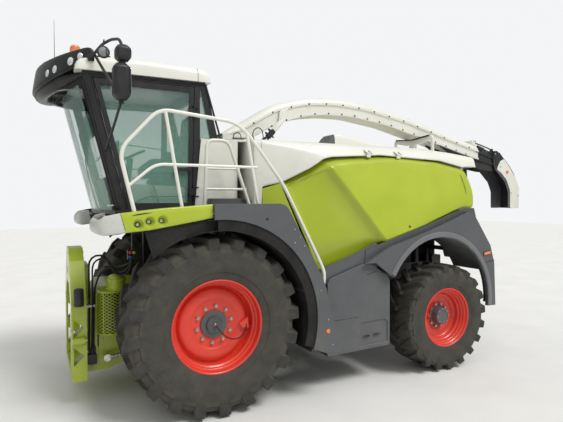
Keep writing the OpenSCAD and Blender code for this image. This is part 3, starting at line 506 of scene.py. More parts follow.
# Chassis, axles, engine and brackets.
# Welded steel in black and grey chassis paint, and cast iron; dusty low down.
CHASSIS_PAINT = satin("chassis_paint", "#26272a", "#303134", rough=0.45, soiled=0.6)
AXLE_PAINT = satin("axle_paint", "#4a4c4f", "#3e4043", rough=0.5, soiled=0.7)
CAST_IRON = satin("cast_iron_paint", "#6b6d6f", "#55575a", rough=0.6, texture=4.0)
WORN_STEEL = plain_metal("worn_steel", "#a3a19b", 0.38)
ROD_CHROME = plain_metal("hard_chrome", "#dcdcd8", 0.12, spot=30)
BLACK_TRIM = satin("black_moulded_plastic", "#232426", "#2c2d2f", rough=0.42, soiled=0.25, low=1.2)
CREAM_ENAMEL = gloss_enamel("cream_enamel", "#efeee4", "#e6e5d9", soiled=0.3, low=1.9)
LIME_ENAMEL = gloss_enamel("lime_enamel", "#b5c431", "#a9ba26", soiled=0.25, low=0.3)
PANEL_GREY = satin("grey_panel_coat", "#5b5d60", "#525457", rough=0.42, soiled=0.35)


def dress(names, material):
    """Gives CAD nodes that are kept as they are their finish."""
    for name in names.split():
        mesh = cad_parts[name].data
        mesh.materials.clear()
        mesh.materials.append(material)


dress("chassis_frame body_brackets knuckle_left knuckle_right lift_cylinders spout_cylinder", CHASSIS_PAINT)
dress("front_axle rear_axle", AXLE_PAINT)
dress("engine_block", CAST_IRON)
dress("crop_channel upper_feed_roller lower_feed_roller", WORN_STEEL)
dress("lift_rods spout_rod", ROD_CHROME)


# Arch plates behind the front wheels, the rubber over the tyres, and the panels between the wheels.
# Folded sheet in satin dark grey, liners of black plastic; lip, apron and inner liner are black rubber.
def plate(outline, y0, y1):
    """An outline of (x, z) given a thickness from y0 to y1."""
    o = np.array(outline, float)
    return loft([np.c_[o[:, 0], np.full(len(o), y), o[:, 1]] for y in (y0, y1)])


def arc(x, z, radius, start, stop, count):
    """Points on a circle in the side view, from one angle to another in degrees."""
    a = np.radians(np.linspace(start, stop, count))
    return np.c_[x + radius * np.cos(a), z + radius * np.sin(a)]


def rounded(points, radius, steps=5, closed=True):
    """Corners of a path replaced by quadratic curves that start radius away from each corner."""
    p = np.array(points, float)
    n = len(p)
    out = [] if closed else [p[:1]]
    for i in range(0 if closed else 1, n if closed else n - 1):
        before, here, after = p[i - 1], p[i], p[(i + 1) % n]
        to_before, to_after = before - here, after - here
        r = np.broadcast_to(radius, n)[i]
        a = here + to_before * min(0.49, r / np.linalg.norm(to_before))
        b = here + to_after * min(0.49, r / np.linalg.norm(to_after))
        t = np.linspace(0, 1, steps)[:, None]
        out.append((1 - t) ** 2 * a + 2 * t * (1 - t) * here + t ** 2 * b)
    if not closed:
        out.append(p[-1:])
    return np.vstack(out)


def slab(outline, y0, y1, corner=0.02, steps=4):
    return plate(rounded(outline, corner, steps), y0, y1)


def at_places(shell, places):
    """One shell set down at several (x, z) places of the machine's side."""
    return [(shell[0] + [x, 0, z], shell[1]) for x, z in places]


def handed(side, shells):
    """Shells drawn on the machine's left, kept there or turned over to its right."""
    return [(verts * [1, -side, 1], faces) for verts, faces in shells]


def arch_sheet(x, z, radius, start, stop, y0, y1, wall=0.006, count=40):
    """A curved sheet over a wheel, from y0 to y1."""
    ring = np.vstack([arc(x, z, radius, start, stop, count), arc(x, z, radius + wall, stop, start, count)])
    return plate(ring, y0, y1)


FRONT_AXLE = (WHEELS["front"]["x"], WHEELS["front"]["radius"])
ARCH_TOP = [(-0.08, 2.175), (-0.08, 2.31), (0.7, 2.31), (0.77, 2.28), (1.05, 1.78), (1.26, 1.38),
    (1.47, 0.54), (1.29, 0.54)]
arch_outline = np.vstack([rounded(ARCH_TOP, [0.004, 0.004, 0.06, 0.06, 0.1, 0.1, 0.02, 0.02], 5)[2:],
        arc(*FRONT_AXLE, 1.16, -18, 94, 48)])
liner = arch_sheet(*FRONT_AXLE, 1.156, -20, 97, -1.68, -0.93)
ARCH_RUBBER = satin("arch_rubber", "#0e0e0f", "#131313", rough=0.7, texture=0.6, soiled=0.1)
arch_rubber = [plate(np.vstack([arc(*FRONT_AXLE, 1.17, -17, 92, 50), arc(*FRONT_AXLE, 1.04, 92, -17, 50)]),
        -1.699, -1.693), plate(np.vstack([[(-0.78, 2.04), (-0.6, 2.085), (-0.3, 2.14), (0.04, 2.17)],
                arc(*FRONT_AXLE, 1.04, 88, 132, 30)]), -1.628, -1.62),
    arch_sheet(*FRONT_AXLE, 1.04, -17, 110, -1.695, -1.0, 0.005)]
arch_sheets = [plate(arch_outline, -1.714, -1.7),
    slab([(-0.08, 2.28), (-0.08, 2.31), (0.7, 2.31), (0.7, 2.28)], -1.7, -1.645, 0.008),
    slab([(1.1, 1.4), (1.24, 1.4), (1.44, 0.56), (1.3, 0.56)], -1.7, -1.688, 0.01)]
screws = at_places(turned([(0.011, -1.7135), (0.01, -1.7185), (0.004, -1.7198)], 10),
    [(0.86, 2.02), (0.93, 1.93), (0.86, 1.87), (0.98, 1.83), (1.2, 1.3), (1.3, 0.95), (1.36, 0.65)])
# A flush black disc stands for the hole in the plate: painted shade of its inside.
painted_shade_hole = at_places(turned([(0.016, -1.7135), (0.016, -1.715)], 16), [(0.52, 2.14)])
for side, hand in SIDES:
    piece("arch_plate_" + hand, handed(side, arch_sheets), PANEL_GREY, "machine",
        ["arch_and_lower_panels"], bevel=0.004)
    piece("arch_liner_" + hand, handed(side, [liner]), BLACK_TRIM, "machine")
    piece("arch_rubber_" + hand, handed(side, arch_rubber), ARCH_RUBBER, "machine")
    piece("arch_screws_" + hand, handed(side, screws), ZINC, "machine")
    piece("arch_hole_shade_" + hand, handed(side, painted_shade_hole), BLACK_TRIM, "machine")

# Lower panels: a box section with a pressed recess, closed at its front by the arch plate.
LOWER = [(1.43, 0.43), (2.385, 0.45), (2.385, 1.33), (2.1, 1.53), (1.94, 1.53), (1.43, 1.37)]
RECESS = [(1.89, 0.49), (2.35, 0.5), (2.35, 0.76), (2.3, 0.8), (1.93, 0.79)]


def recessed_panel(outline, recess, y, depth, wall):
    """A plate with a smaller outline pressed in: rings step from the rim down a slope to the floor."""
    rim, pocket = np.array(outline, float), np.array(recess, float)
    a = np.unwrap(np.arctan2(rim[:, 1] - pocket[:, 1].mean(), rim[:, 0] - pocket[:, 0].mean()))
    angles = np.linspace(a[0], a[0] + 2 * np.pi, 96, endpoint=False)

    def cast(loop):
        centre = pocket.mean(0)
        d = np.c_[np.cos(angles), np.sin(angles)]
        p, q = loop - centre, np.roll(loop, -1, 0) - centre
        e = q - p
        cross = d[:, None, 0] * e[None, :, 1] - d[:, None, 1] * e[None, :, 0]
        t = (p[None, :, 0] * e[None, :, 1] - p[None, :, 1] * e[None, :, 0]) / np.where(np.abs(cross) < 1e-9,
            1e-9, cross)
        s = (p[None, :, 0] * d[:, None, 1] - p[None, :, 1] * d[:, None, 0]) / np.where(np.abs(cross) < 1e-9,
            1e-9, cross)
        ok = (t > 0) & (s >= -1e-6) & (s <= 1 + 1e-6)
        return centre + d * np.where(ok, t, np.inf).min(1)[:, None]

    outer, inner = cast(rim), cast(pocket)
    small = pocket.mean(0) + (inner - pocket.mean(0)) * 0.93
    rings = [(outer, y + wall), (outer, y), (inner, y), (small, y + depth), (small, y + depth + wall)]
    return loft([np.c_[r[:, 0], np.full(96, k), r[:, 1]] for r, k in rings])


lower = [recessed_panel(LOWER, RECESS, -1.49, 0.035, 0.012),
    plate([(1.43, 0.43), (2.385, 0.45), (2.385, 0.465), (1.43, 0.445)], -1.478, -0.93),
    plate([(2.373, 0.45), (2.385, 0.45), (2.385, 1.33), (2.373, 1.33)], -1.478, -0.93),
    plate([(2.385, 1.33), (2.1, 1.53), (2.1, 1.515), (2.373, 1.322)], -1.478, -0.93)]
# A flat sheet behind closes the gap between lower panel, lid and fender.
infill = plate([(1.31, 1.2), (1.36, 1.5), (1.44, 1.53), (1.93, 1.7), (2.18, 1.8), (2.3, 1.7), (2.2, 1.45),
        (1.94, 1.45), (1.43, 1.3)], -1.452, -1.446)
catches = [plate([(x, z), (x + 0.1, z + 0.003), (x + 0.1, z + 0.018), (x, z + 0.015)], -1.497, -1.489)
    for x, z in ((1.96, 0.6), (2.12, 0.606))]
catches.append(plate([(1.44, 0.862), (1.885, 0.868), (1.885, 0.862), (1.44, 0.856)], -1.4912, -1.489))
for side, hand in SIDES:
    piece("lower_panel_" + hand, handed(side, lower), PANEL_GREY, "machine", bevel=0.004)
    piece("panel_infill_" + hand, handed(side, [infill]), PANEL_GREY, "machine")
    piece("lower_panel_catches_" + hand, handed(side, catches), BLACK_TRIM, "machine")

# Rear fenders and the louvred tail panel.
# Moulded dark grey plastic with a lighter rolled lip, over a black liner that clears the steered tyre; a flat
# cap closes the fender under the lid, and amber reflectors and side markers are screwed on.
dress("rear_fenders", PANEL_GREY)
LIP_GREY = satin("rolled_lip_grey", "#75777a", "#6a6c6f", rough=0.36, soiled=0.3)


def clouded_lens(name, millimetres, detail, first, second, **shader):
    """A moulded lens whose colour drifts softly between two tones."""
    made, tree, bsdf = finish(name, **shader)
    tree.links.new(blended(tree, grain(tree, millimetres, detail), first, second), bsdf.inputs["Base Color"])
    return made


# Emission strength 0.05 on the white default emission makes these lenses glow faintly: a painted glow, as
# none of them is a lit lamp.
AMBER_LENS = clouded_lens("amber_lens", 8, 3.0, "#ef7d1b", "#d9620f", Roughness=0.12, Coat_Weight=0.6,
    Emission_Strength=0.05)


def lip(x, z, radius, start, stop, y, width, rise, count=60):
    """A rounded bead along a wheel arch: its section is a half ellipse standing on the fender's face."""
    a = np.radians(np.linspace(start, stop, count))[:, None]
    s = np.linspace(0, np.pi, 9)[None]
    r = radius + width * (0.5 - 0.5 * np.cos(s))
    depth = y - rise * np.sin(s) ** 0.7
    front = np.stack([x + r * np.cos(a), np.broadcast_to(depth, (count, 9)), z + r * np.sin(a)], -1)
    back = np.stack([x + r[:, ::-1][:, [0, -1]] * np.cos(a), np.full((count, 2), y + 0.012),
            z + r[:, ::-1][:, [0, -1]] * np.sin(a)], -1)
    return loft(np.concatenate([front, back], 1))


FENDER_CENTRE = (3.22, 0.93)
wheel_lip = lip(*FENDER_CENTRE, 0.903, -7, 152, -1.5595, 0.075, 0.014)
inner = [arch_sheet(*FENDER_CENTRE, 0.906, 26, 150, -1.515, -0.98),
    arch_sheet(*FENDER_CENTRE, 0.906, -5, 26, -1.515, -1.47)]
seams = [plate(outline, -1.5612, -1.5585)
    for outline in ([(1.965, 1.4), (2.12, 1.44), (2.4, 1.335), (2.405, 1.345), (2.12, 1.452), (1.965, 1.412)],
        [(4.0, 1.425), (4.247, 1.455), (4.247, 1.467), (4.0, 1.437)],
        [(2.115, 1.545), (2.122, 1.545), (2.122, 1.448), (2.115, 1.448)])]
cap = plate([(2.0, 1.46), (2.02, 1.7), (2.32, 1.8), (3.01, 1.99), (3.43, 2.13), (3.74, 2.22), (3.94, 2.225),
        (3.98, 2.1), (3.45, 1.98), (3.0, 1.84), (2.3, 1.6), (2.14, 1.46)], -1.462, -1.456)
disc = at_places(turned([(0.026, -1.7135), (0.026, -1.717), (0.022, -1.719), (0.008, -1.7198)], 28),
    [(1.299, 0.815)])
marker = slab([(4.03, 1.545), (4.155, 1.56), (4.16, 1.6), (4.035, 1.585)], -1.575, -1.559, 0.01)
lamp_back = slab([(4.02, 1.535), (4.165, 1.55), (4.17, 1.61), (4.025, 1.595)], -1.566, -1.558, 0.01)
for side, hand in SIDES:
    piece("fender_lip_" + hand, handed(side, [wheel_lip]), LIP_GREY, "machine")
    piece("fender_liner_" + hand, handed(side, inner), BLACK_TRIM, "machine")
    piece("fender_cap_" + hand, handed(side, [cap]), PANEL_GREY, "machine")
    piece("fender_seams_" + hand, handed(side, seams), BLACK_TRIM, "machine")
    piece("arch_reflector_" + hand, handed(side, disc), AMBER_LENS, "machine")
    piece("side_marker_" + hand, handed(side, [marker]), AMBER_LENS, "machine", bevel=0.004)
    piece("side_marker_base_" + hand, handed(side, [lamp_back]), BLACK_TRIM, "machine")


# Side lids.
# Pressed aluminium sheet in lime enamel: top band, scooped front facet behind a crease, turned-in foot.
SIDE_Z = ([1.36, 1.85, 2.35, 2.75, 2.95], [1.478, 1.474, 1.402, 1.327, 1.275])
LID_TOP = ([0.96, 1.32, 1.5, 1.62, 2.41, 3.45, 3.885], [2.556, 2.736, 2.856, 2.886, 2.941, 2.896, 2.806])
LID_FOOT = ([1.44, 1.93, 2.32, 3.01, 3.43, 3.74, 3.94], [1.395, 1.56, 1.745, 1.935, 2.075, 2.175, 2.18])


def ramp(value, low, high):
    """0 below low, 1 above high, an S curve between."""
    t = np.clip((value - low) / (high - low), 0, 1)
    return t * t * (3 - 2 * t)


def soft_curve(table, x, reach=0.05):
    """A polyline's height at x, averaged over a short reach so that its corners are round."""
    steps = np.linspace(-reach, reach, 7)
    return sum(np.interp(x + s, *table) for s in steps) / 7


def lid_surface(nu=150, nv=64):
    """Rows from the foot edge to the top edge; the half width is the side's curve less a scoop.

    The scoop is 0.22 (1 - exp(-d/0.4)) deep, d being the distance ahead of the crease's slanting line."""
    u, v = np.meshgrid(np.linspace(0, 1, nu), np.linspace(0, 1, nv), indexing="ij")
    top_x = 0.96 + (3.885 - 0.96) * u
    foot_x = 1.44 + (3.94 - 1.44) * u
    x = foot_x + (top_x - foot_x) * v + 0.075 * np.sin(np.pi * np.clip(v * 1.1, 0, 1)) * u ** 10
    z = (1 - v) * soft_curve(LID_FOOT, foot_x) + v * soft_curve(LID_TOP, top_x)
    half = soft_curve(SIDE_Z, z, 0.03)
    d = 1.61 + (2.75 - z) * 0.8 - x
    scoop = 0.22 * (1 - np.exp(-np.maximum(d, 0) / 0.4))
    band = soft_curve(([0.9, 1.61, 1.7, 2.67, 3.39, 3.9], [2.47, 2.765, 2.8, 2.875, 2.835, 2.74]), x)
    front = 0.96 + (z - 2.556) * (1.44 - 0.96) / (1.395 - 2.556)
    inset = 0.026 * ramp(d, 0, 0.12) * ramp(band - z, -0.006, 0.02) * ramp(x - front, 0.065, 0.1)
    foot = z - soft_curve(LID_FOOT, x)
    y = half - scoop - inset - 0.75 * np.maximum(z - band, 0) - 0.9 * np.maximum(0.07 - foot, 0)
    return np.stack([x, -y, z], -1)


def sheet_grid(points):
    """A grid of points (rows, columns) as quads."""
    m, n = points.shape[:2]
    i, j = np.meshgrid(np.arange(m - 1), np.arange(n - 1), indexing="ij")
    quads = np.stack([i * n + j, (i + 1) * n + j, (i + 1) * n + j + 1, i * n + j + 1], -1).reshape(-1, 4)
    return points.reshape(-1, 3), quads.tolist()


LID = lid_surface()


def lid_depth(x, z):
    """y of the lid's outside at a place, from its nearest grid point."""
    near = (LID[..., 0] - x) ** 2 + (LID[..., 2] - z) ** 2
    return LID.reshape(-1, 3)[near.argmin(), 1]


def handed_sheet(side, points):
    """A grid of points on its own side, with its faces the same way out on both."""
    verts, faces = sheet_grid(points)
    return handed(side, [(verts, faces if side < 0 else [f[::-1] for f in faces])])


fittings = []
for x, z, r in ((2.75, 1.985, 0.018), (1.52, 1.53, 0.01)):
    y = lid_depth(x, z)
    lock = turned([(r, y + 0.003), (r, y - 0.004), (0.55 * r, y - 0.004), (0.5 * r, y - 0.001)], 20)
    fittings += at_places(lock, [(x, z)])
for x, z in ((2.02, 1.635), (2.26, 1.755)):
    y = lid_depth(x, z)
    fittings.append(slab([(x, z - 0.045), (x + 0.05, z - 0.02), (x + 0.055, z + 0.01),
                (x + 0.005, z - 0.012)], y - 0.004, y + 0.03, 0.006))
rear_seam = [(3.7, 2.842), (3.8, 2.7), (3.86, 2.45), (3.84, 2.2)]
path = smooth_path([(x, lid_depth(x, z) - 0.0005, z) for x, z in rear_seam], 24)
fittings.append(pipe(path, 0.0028, 6))
for side, hand in SIDES:
    piece("lid_skin_" + hand, handed_sheet(side, LID), LIME_ENAMEL, "side_lid_" + hand,
        ["side_lid_" + hand], crease=18, solid=0.012, outward=False)
    piece("lid_fittings_" + hand, handed(side, fittings), BLACK_TRIM, "side_lid_" + hand)

# Upper hood, its humps and the spout's rest.
# Moulded glass-fibre cover in cream enamel; its front is an upright wall behind the cab, open below the lids.
CROWN = rounded([(1.474, 1.85), (1.402, 2.35), (1.327, 2.75), (1.275, 2.95), (1.19, 3.04), (1.01, 3.102),
        (0.6, 3.148), (0.0, 3.155)], 0.06, 6, closed=False)
HOOD_LOW = ([0.62, 0.704, 0.72, 0.96, 1.32, 1.5, 1.62, 2.41, 3.45, 3.885, 3.93, 4.14],
    [2.21, 2.21, 2.512, 2.566, 2.746, 2.866, 2.896, 2.951, 2.906, 2.818, 2.83, 2.83])


def soft_min(a, b, k):
    """The smaller of two values with a round turn between them: a less k log(1 + exp((a - b) / k))."""
    return a - k * np.logaddexp(0, (a - b) / k)


def hood_surface(nv=64):
    """Rows along the machine; each is the crown's curve from the lids' top edge to the middle and down again.

    The half width is held inside the front plane 1.327 + 0.204 (x - 1.61), the height under the top line."""
    x = np.concatenate([[0.62, 0.6235, 0.632, 0.66, 0.69, 0.703, 0.7045, 0.7195, 0.721],
            np.linspace(0.74, 4.12, 118), [4.128, 4.1365, 4.14]])[:, None]
    inset = np.interp(x, [0.62, 0.6235, 0.632, 4.128, 4.1365, 4.14], [0.012, 0.0035, 0, 0, 0.0035, 0.012])
    run = np.concatenate([[0], np.cumsum(np.hypot(*np.diff(CROWN, axis=0).T))])
    low = np.interp(x, *HOOD_LOW)
    start = np.interp(low, CROWN[:, 1], run)
    t = start + (run[-1] - start) * np.linspace(0, 1, nv)[None]
    half, z = np.interp(t, run, CROWN[:, 0]), np.interp(t, run, CROWN[:, 1])
    half = soft_min(half, 1.327 + 0.204 * (x - 1.61) - inset, 0.01)
    top = soft_curve(([0.62, 1.1, 2.9, 3.76, 4.14], [3.09, 3.18, 3.18, 3.04, 2.98]), x, 0.08) - inset
    z = soft_min(z, top, 0.01)
    x = np.broadcast_to(x, z.shape)
    left, right = np.stack([x, -half, z], -1), np.stack([x, half, z], -1)[:, -2::-1]
    skin = np.concatenate([left, right], 1)
    ends = [row * [1, 0, 1] for row in (skin[:1], skin[-1:])]
    return np.concatenate([ends[0], skin, ends[1]], 0)


HOOD = hood_surface()
verts, faces = sheet_grid(HOOD)
middle = np.array([verts[f].mean(0) for f in faces])
open_hole = np.hypot(middle[:, 0] - 0.8, middle[:, 1]) < 0.31
faces = [f for f, gone in zip(faces, open_hole) if not gone or verts[f][:, 2].max() < 3.0]
piece("hood_skin", [(verts, faces)], CREAM_ENAMEL, "machine", ["upper_hood"], crease=32,
    solid=0.01)


def on_z(shell, x=0.0, y=0.0):
    """A shell turned about Y laid over so that its axis stands along Z, at a place."""
    verts, faces = shell
    return verts[:, [0, 2, 1]] + [x, y, 0], faces


collar = closed_turned([(0.292, 3.085), (0.372, 3.085), (0.372, 3.128), (0.366, 3.134), (0.3, 3.138),
        (0.292, 3.134)], 64)
piece("turret_collar", [on_z(collar, 0.8)], BLACK_TRIM, "machine")

HUMP = ([1.9, 2.05, 2.17, 3.1], [3.1, 3.29, 3.285, 3.135])


def hump(x0, x1, grow=0.0, count=24):
    """Trapezoid sections along the hood, their height read from the hump's line."""
    rings = []
    for x in np.linspace(x0, x1, count):
        top = float(soft_curve(HUMP, np.array(x), 0.03)) + grow
        w = 0.185 + grow
        edge = min(0.05, 0.5 * (top - 3.08))
        section = rounded([(-w, 3.08), (-w + 0.02, top - edge * 0.4), (-w + 0.045, top), (w - 0.045, top),
                (w - 0.02, top - edge * 0.4), (w, 3.08)], [0.002, 0.03, 0.03, 0.03, 0.03, 0.002], 4)
        rings.append(np.c_[np.full(len(section), x), section[:, 0] - 0.515, section[:, 1]])
    return loft(rings)


piece("hood_humps", [hump(2.055, 3.09)], CREAM_ENAMEL, "machine", mirror=True)
# The humps' front faces are drawn grey: painted shade on the cream humps, standing for their shadowed side.
piece("hump_fronts_painted_shade", [hump(1.925, 2.054, -0.002, 8)], PANEL_GREY, "machine", mirror=True)

HINGE_Y, HINGE_Z = 1.283, 2.962
for side, hand in SIDES:
    knuckles = [pipe([(x - 0.03, side * HINGE_Y, HINGE_Z), (x, side * HINGE_Y, HINGE_Z),
                (x + 0.03, side * HINGE_Y, HINGE_Z)], 0.012, 16) for x in (2.2, 2.7)]
    knuckles += [loft([[(x + dx, side * y, z) for y, z in ((1.291, 2.964), (1.277, 2.956), (1.272, 2.91),
                        (1.286, 2.91))] for dx in (-0.03, 0.03)]) for x in (2.2, 2.7)]
    piece("lid_knuckles_" + hand, knuckles, CREAM_ENAMEL, "side_lid_" + hand)
    pins = [pipe([(x - 0.046, side * HINGE_Y, HINGE_Z), (x, side * HINGE_Y, HINGE_Z),
                (x + 0.046, side * HINGE_Y, HINGE_Z)], 0.006, 12) for x in (2.2, 2.7)]
    pins += [loft([[(x + dx, side * y, z) for y, z in ((1.291, 2.954), (1.291, 2.97), (1.225, 3.01),
                        (1.225, 2.985))] for dx in (d, d + 0.012)]) for x in (2.2, 2.7)
        for d in (-0.046, 0.034)]
    piece("lid_pins_" + hand, pins, ZINC, "machine")

# The cream fascia behind the cab, its top, and the box that stands on the deck beside it.
# Moulded cover with a rolled rear edge; the box is grey plastic, and a red bottle lies beside it in clasps.
def upright_sheet(path, z0, z1, lean=0.0, wall=0.012):
    """A plan path of (x, y) raised from z0 to z1; its first point leans forward toward the bottom."""
    p = np.array(path, float)
    offset = np.zeros_like(p)
    offset[:, 0] = lean * np.linspace(1, 0, len(p))
    normal = np.c_[-np.gradient(p[:, 1]), np.gradient(p[:, 0])]
    normal /= np.linalg.norm(normal, axis=1)[:, None]
    ring = np.vstack([p, (p + wall * normal)[::-1]])
    shift = np.vstack([offset, offset[::-1]])
    return loft([np.c_[ring + shift, np.full(len(ring), z0)], np.c_[ring, np.full(len(ring), z1 - 0.012)],
            np.c_[ring, np.full(len(ring), z1)]])


fascia_path = rounded([(0.035, -0.888), (0.525, -0.888), (0.525, -0.7)], [0.01, 0.07, 0.01], 8, closed=False)
fascia_path = np.vstack([np.c_[np.linspace(0.035, 0.4, 12), np.full(12, -0.888)], fascia_path[2:]])
fascia = [upright_sheet(fascia_path, 2.2, 3.085, lean=-0.09),
    plate([(0.255, 3.068), (0.255, 3.084), (0.63, 3.092), (0.63, 3.076)], -0.878, 0.0)]
piece("cab_fascia", fascia, CREAM_ENAMEL, "machine", mirror=True, bevel=0.004)
gasket = [plate([(0.27, 3.084), (0.27, 3.098), (0.52, 3.112), (0.52, 3.088)], -0.62, 0.0)]
piece("spout_base_gasket", gasket, BLACK_TRIM, "machine", mirror=True, bevel=0.003)
plan = rounded([(0.1, -1.06), (0.56, -1.06), (0.56, -0.9), (0.1, -0.9)], 0.02, 4)
box = loft([np.c_[plan, np.full(16, z)] for z in (2.201, 2.36, 2.372)])
piece("deck_box", [box], PANEL_GREY, "machine", bevel=0.006)
EXTINGUISHER_RED = satin("red_bottle_paint", "#c8242b", "#a81e24", rough=0.3, soiled=0.2)
bottle = [pipe([(x, -1.12, 2.245) for x in (0.17, 0.175, 0.19, 0.4, 0.42, 0.425)],
        np.array([0.012, 0.03, 0.042, 0.042, 0.03, 0.012]), 20)]
piece("deck_bottle", bottle, EXTINGUISHER_RED, "machine")
clasps = [pipe([(x, -1.12, 2.245), (x + 0.018, -1.12, 2.245)], 0.0435, 20) for x in (0.235, 0.345)]
clasps += [slab([(0.16, 2.201), (0.16, 2.215), (0.44, 2.215), (0.44, 2.201)], -1.165, -1.075, 0.004)]
piece("bottle_clasps", clasps, ZINC, "machine", bevel=0.002)

# Deck fairing with its work lamps, the platforms' floors and the stairs.
# Moulded cover in lime enamel round a pale nose; three lamps sit in cones; floors and treads are studded.
NOSE_SHELL = satin("pale_nose_shell", "#d3d4cc", "#c8c9c1", rough=0.34, soiled=0.3, low=1.8)
LAMP_GLASS = clouded_lens("lamp_glass", 14, 2.0, "#eef2f2", "#b9c0c2", Roughness=0.06, Coat_Weight=0.8,
    Metallic=0.35)
FAIRING_TOP = ([-1.22, -1.17, -1.0, -0.62, -0.08], [2.15, 2.198, 2.228, 2.27, 2.308])
FAIRING_FOOT = ([-1.22, -1.17, -0.98, -0.73, -0.5, -0.08], [2.022, 2.008, 2.03, 2.052, 2.09, 2.16])
SEAT_DEPTH, SEAT_INNER, SEAT_OUTER = 0.058, 0.022, 0.058
LAMP_SEATS = ((-0.845, 2.112), (-0.735, 2.138), (-0.61, 2.146))


def fairing(nu=300, nv=38):
    """A bulged section carried along the deck's plan path; each lamp seat presses it in by 58 mm.

    The seam between lime and nose leans: x moves by 0.05 (0.5 - height share) near it."""
    path = smooth_path([(-0.082, -1.66, 0), (-0.35, -1.661, 0), (-0.7, -1.66, 0), (-0.99, -1.655, 0),
            (-1.1, -1.643, 0), (-1.175, -1.608, 0), (-1.212, -1.54, 0), (-1.223, -1.42, 0), (-1.226, -1.2, 0),
            (-1.224, -1.02, 0), (-1.212, -0.93, 0), (-1.17, -0.888, 0), (-1.05, -0.88, 0)], nu)[:, :2]
    along = np.gradient(path, axis=0)
    along /= np.linalg.norm(along, axis=1)[:, None]
    inward = np.c_[along[:, 1], -along[:, 0]]
    cover = np.interp(path[:, 0], [-1.16, -1.06], [0.22, 0.05])
    section = np.array([(1.0, 1.0), (0.022, 1.0), (0.009, 0.985), (0.002, 0.95), (-0.006, 0.75),
            (-0.009, 0.5), (-0.007, 0.25), (0.0, 0.06), (0.006, 0.015), (0.018, 0.0), (1.0, 0.0)])
    run = np.array([0, 0.05, 0.12, 0.19, 0.38, 0.56, 0.74, 0.88, 0.93, 0.97, 1.0])
    t = np.linspace(0, 1, nv)
    depth, share = np.interp(t, run, section[:, 0])[None], np.interp(t, run, section[:, 1])[None]
    depth = np.where(depth > 0.03,
        np.broadcast_to(cover[:, None], (nu, nv)) * np.clip((depth - 0.022) / 0.978, 0, 1) + 0.022, depth)
    x = path[:, :1] + 0.05 * (0.5 - share) * np.exp(-((path[:, :1] + 0.985) / 0.12) ** 2)
    foot, top = np.interp(x, *FAIRING_FOOT), np.interp(x, *FAIRING_TOP)
    z = foot + share * (top - foot)
    for lx, lz in LAMP_SEATS:
        d = np.hypot(x - lx, z - lz)
        depth = depth + SEAT_DEPTH * (1 - ramp(d, SEAT_INNER, SEAT_OUTER)) * (path[:, 1:] < -1.6)
    return np.stack([x + depth * inward[:, :1], path[:, 1:] + depth * inward[:, 1:], z], -1), path[:, 0]


skin, path_x = fairing()
cut = int(np.argmax(path_x < -0.985)) + 1
floor_plates = [plate([(-0.995, 2.184), (-0.995, 2.2), (-0.085, 2.2), (-0.085, 2.184)], -1.635, -0.877),
    plate([(-0.085, 2.184), (-0.085, 2.2), (0.7, 2.2), (0.7, 2.184)], -1.678, -0.877),
    plate([(-0.995, 2.13), (-0.995, 2.184), (-0.985, 2.184), (-0.985, 2.13)], -1.6, -0.877)]


def studded_sheet():
    """Black coated steel sheet with pressed studs about 25 mm apart, worn pale on their tops."""
    made, tree, bsdf = finish("studded_sheet", Roughness=0.55, Metallic=0.2)
    studs = node(tree, "ShaderNodeTexVoronoi",
        {"Vector": place(tree), "Scale": 40.0, "Randomness": 0.0}).outputs["Distance"]
    raised = between(tree, studs, 0.22, 0.42, 1.0, 0.0)
    worn = product(tree, raised, between(tree, grain(tree, 120), 0.4, 0.7))
    tree.links.new(blended(tree, worn, "#3a3b3d", "#8f8f8b"), bsdf.inputs["Base Color"])
    relief(tree, bsdf, raised, 2.5, 0.8)
    return made


STUDDED_SHEET = studded_sheet()
dress("stairs", STUDDED_SHEET)
dress("stair_side_panels", LIME_ENAMEL)
rims = at_places(closed_turned([(0.02, -1.6), (0.027, -1.6), (0.027, -1.612), (0.023, -1.616),
            (0.02, -1.612)], 28), LAMP_SEATS)
glasses = at_places(turned([(0.021, -1.598), (0.021, -1.608), (0.015, -1.614), (0.006, -1.6165)], 28),
    LAMP_SEATS)
# The slot is a black strip nearly flush with the skin: painted shade of the slot's inside; the thin line
# along the nose's seam is a dark joint.
slot_shade_line = smooth_path([(-0.93, -1.657, 2.188), (-0.88, -1.659, 2.205), (-0.8, -1.66, 2.218),
        (-0.7, -1.66, 2.23)], 14)
seam_line = smooth_path([tuple(p) for p in skin[cut - 1, 4:-4:3] + [0, -0.0005, 0]], 16)
slot_shade_and_seam = [pipe(slot_shade_line, np.sin(np.linspace(0.25, np.pi - 0.25, 14)) * 0.007, 8), pipe(seam_line, 0.002, 6)]
for side, hand in SIDES:
    piece("deck_fairing_" + hand, handed_sheet(side, skin[:cut]), LIME_ENAMEL, "machine",
        ["platforms"], crease=40, solid=0.004, outward=False)
    piece("deck_nose_" + hand, handed_sheet(side, skin[cut - 1:]), NOSE_SHELL, "machine",
        crease=40, solid=0.004, outward=False)
    piece("deck_floor_" + hand, handed(side, floor_plates), STUDDED_SHEET, "machine",
        bevel=0.002)
    piece("deck_lamp_rims_" + hand, handed(side, rims), BLACK_TRIM, "machine")
    piece("deck_lamp_glasses_" + hand, handed(side, glasses), LAMP_GLASS, "machine")
    piece("deck_slot_shade_and_seam_" + hand, handed(side, slot_shade_and_seam), BLACK_TRIM, "machine")

# Handrails.
# Bent steel tube in cream enamel, welded to round foot plates that are screwed to the deck.
def tube(points, radius, bend=0.09):
    corners = rounded(points, bend, 9, closed=False)
    ends = [corners[:1] + (corners[1] - corners[0]) * t for t in (0, 0.33, 0.66)]
    tail = [corners[-2:-1] + (corners[-1] - corners[-2]) * t for t in (0.33, 0.66, 1)]
    return pipe(np.vstack(ends + [corners[1:-1]] + tail), radius, 14)


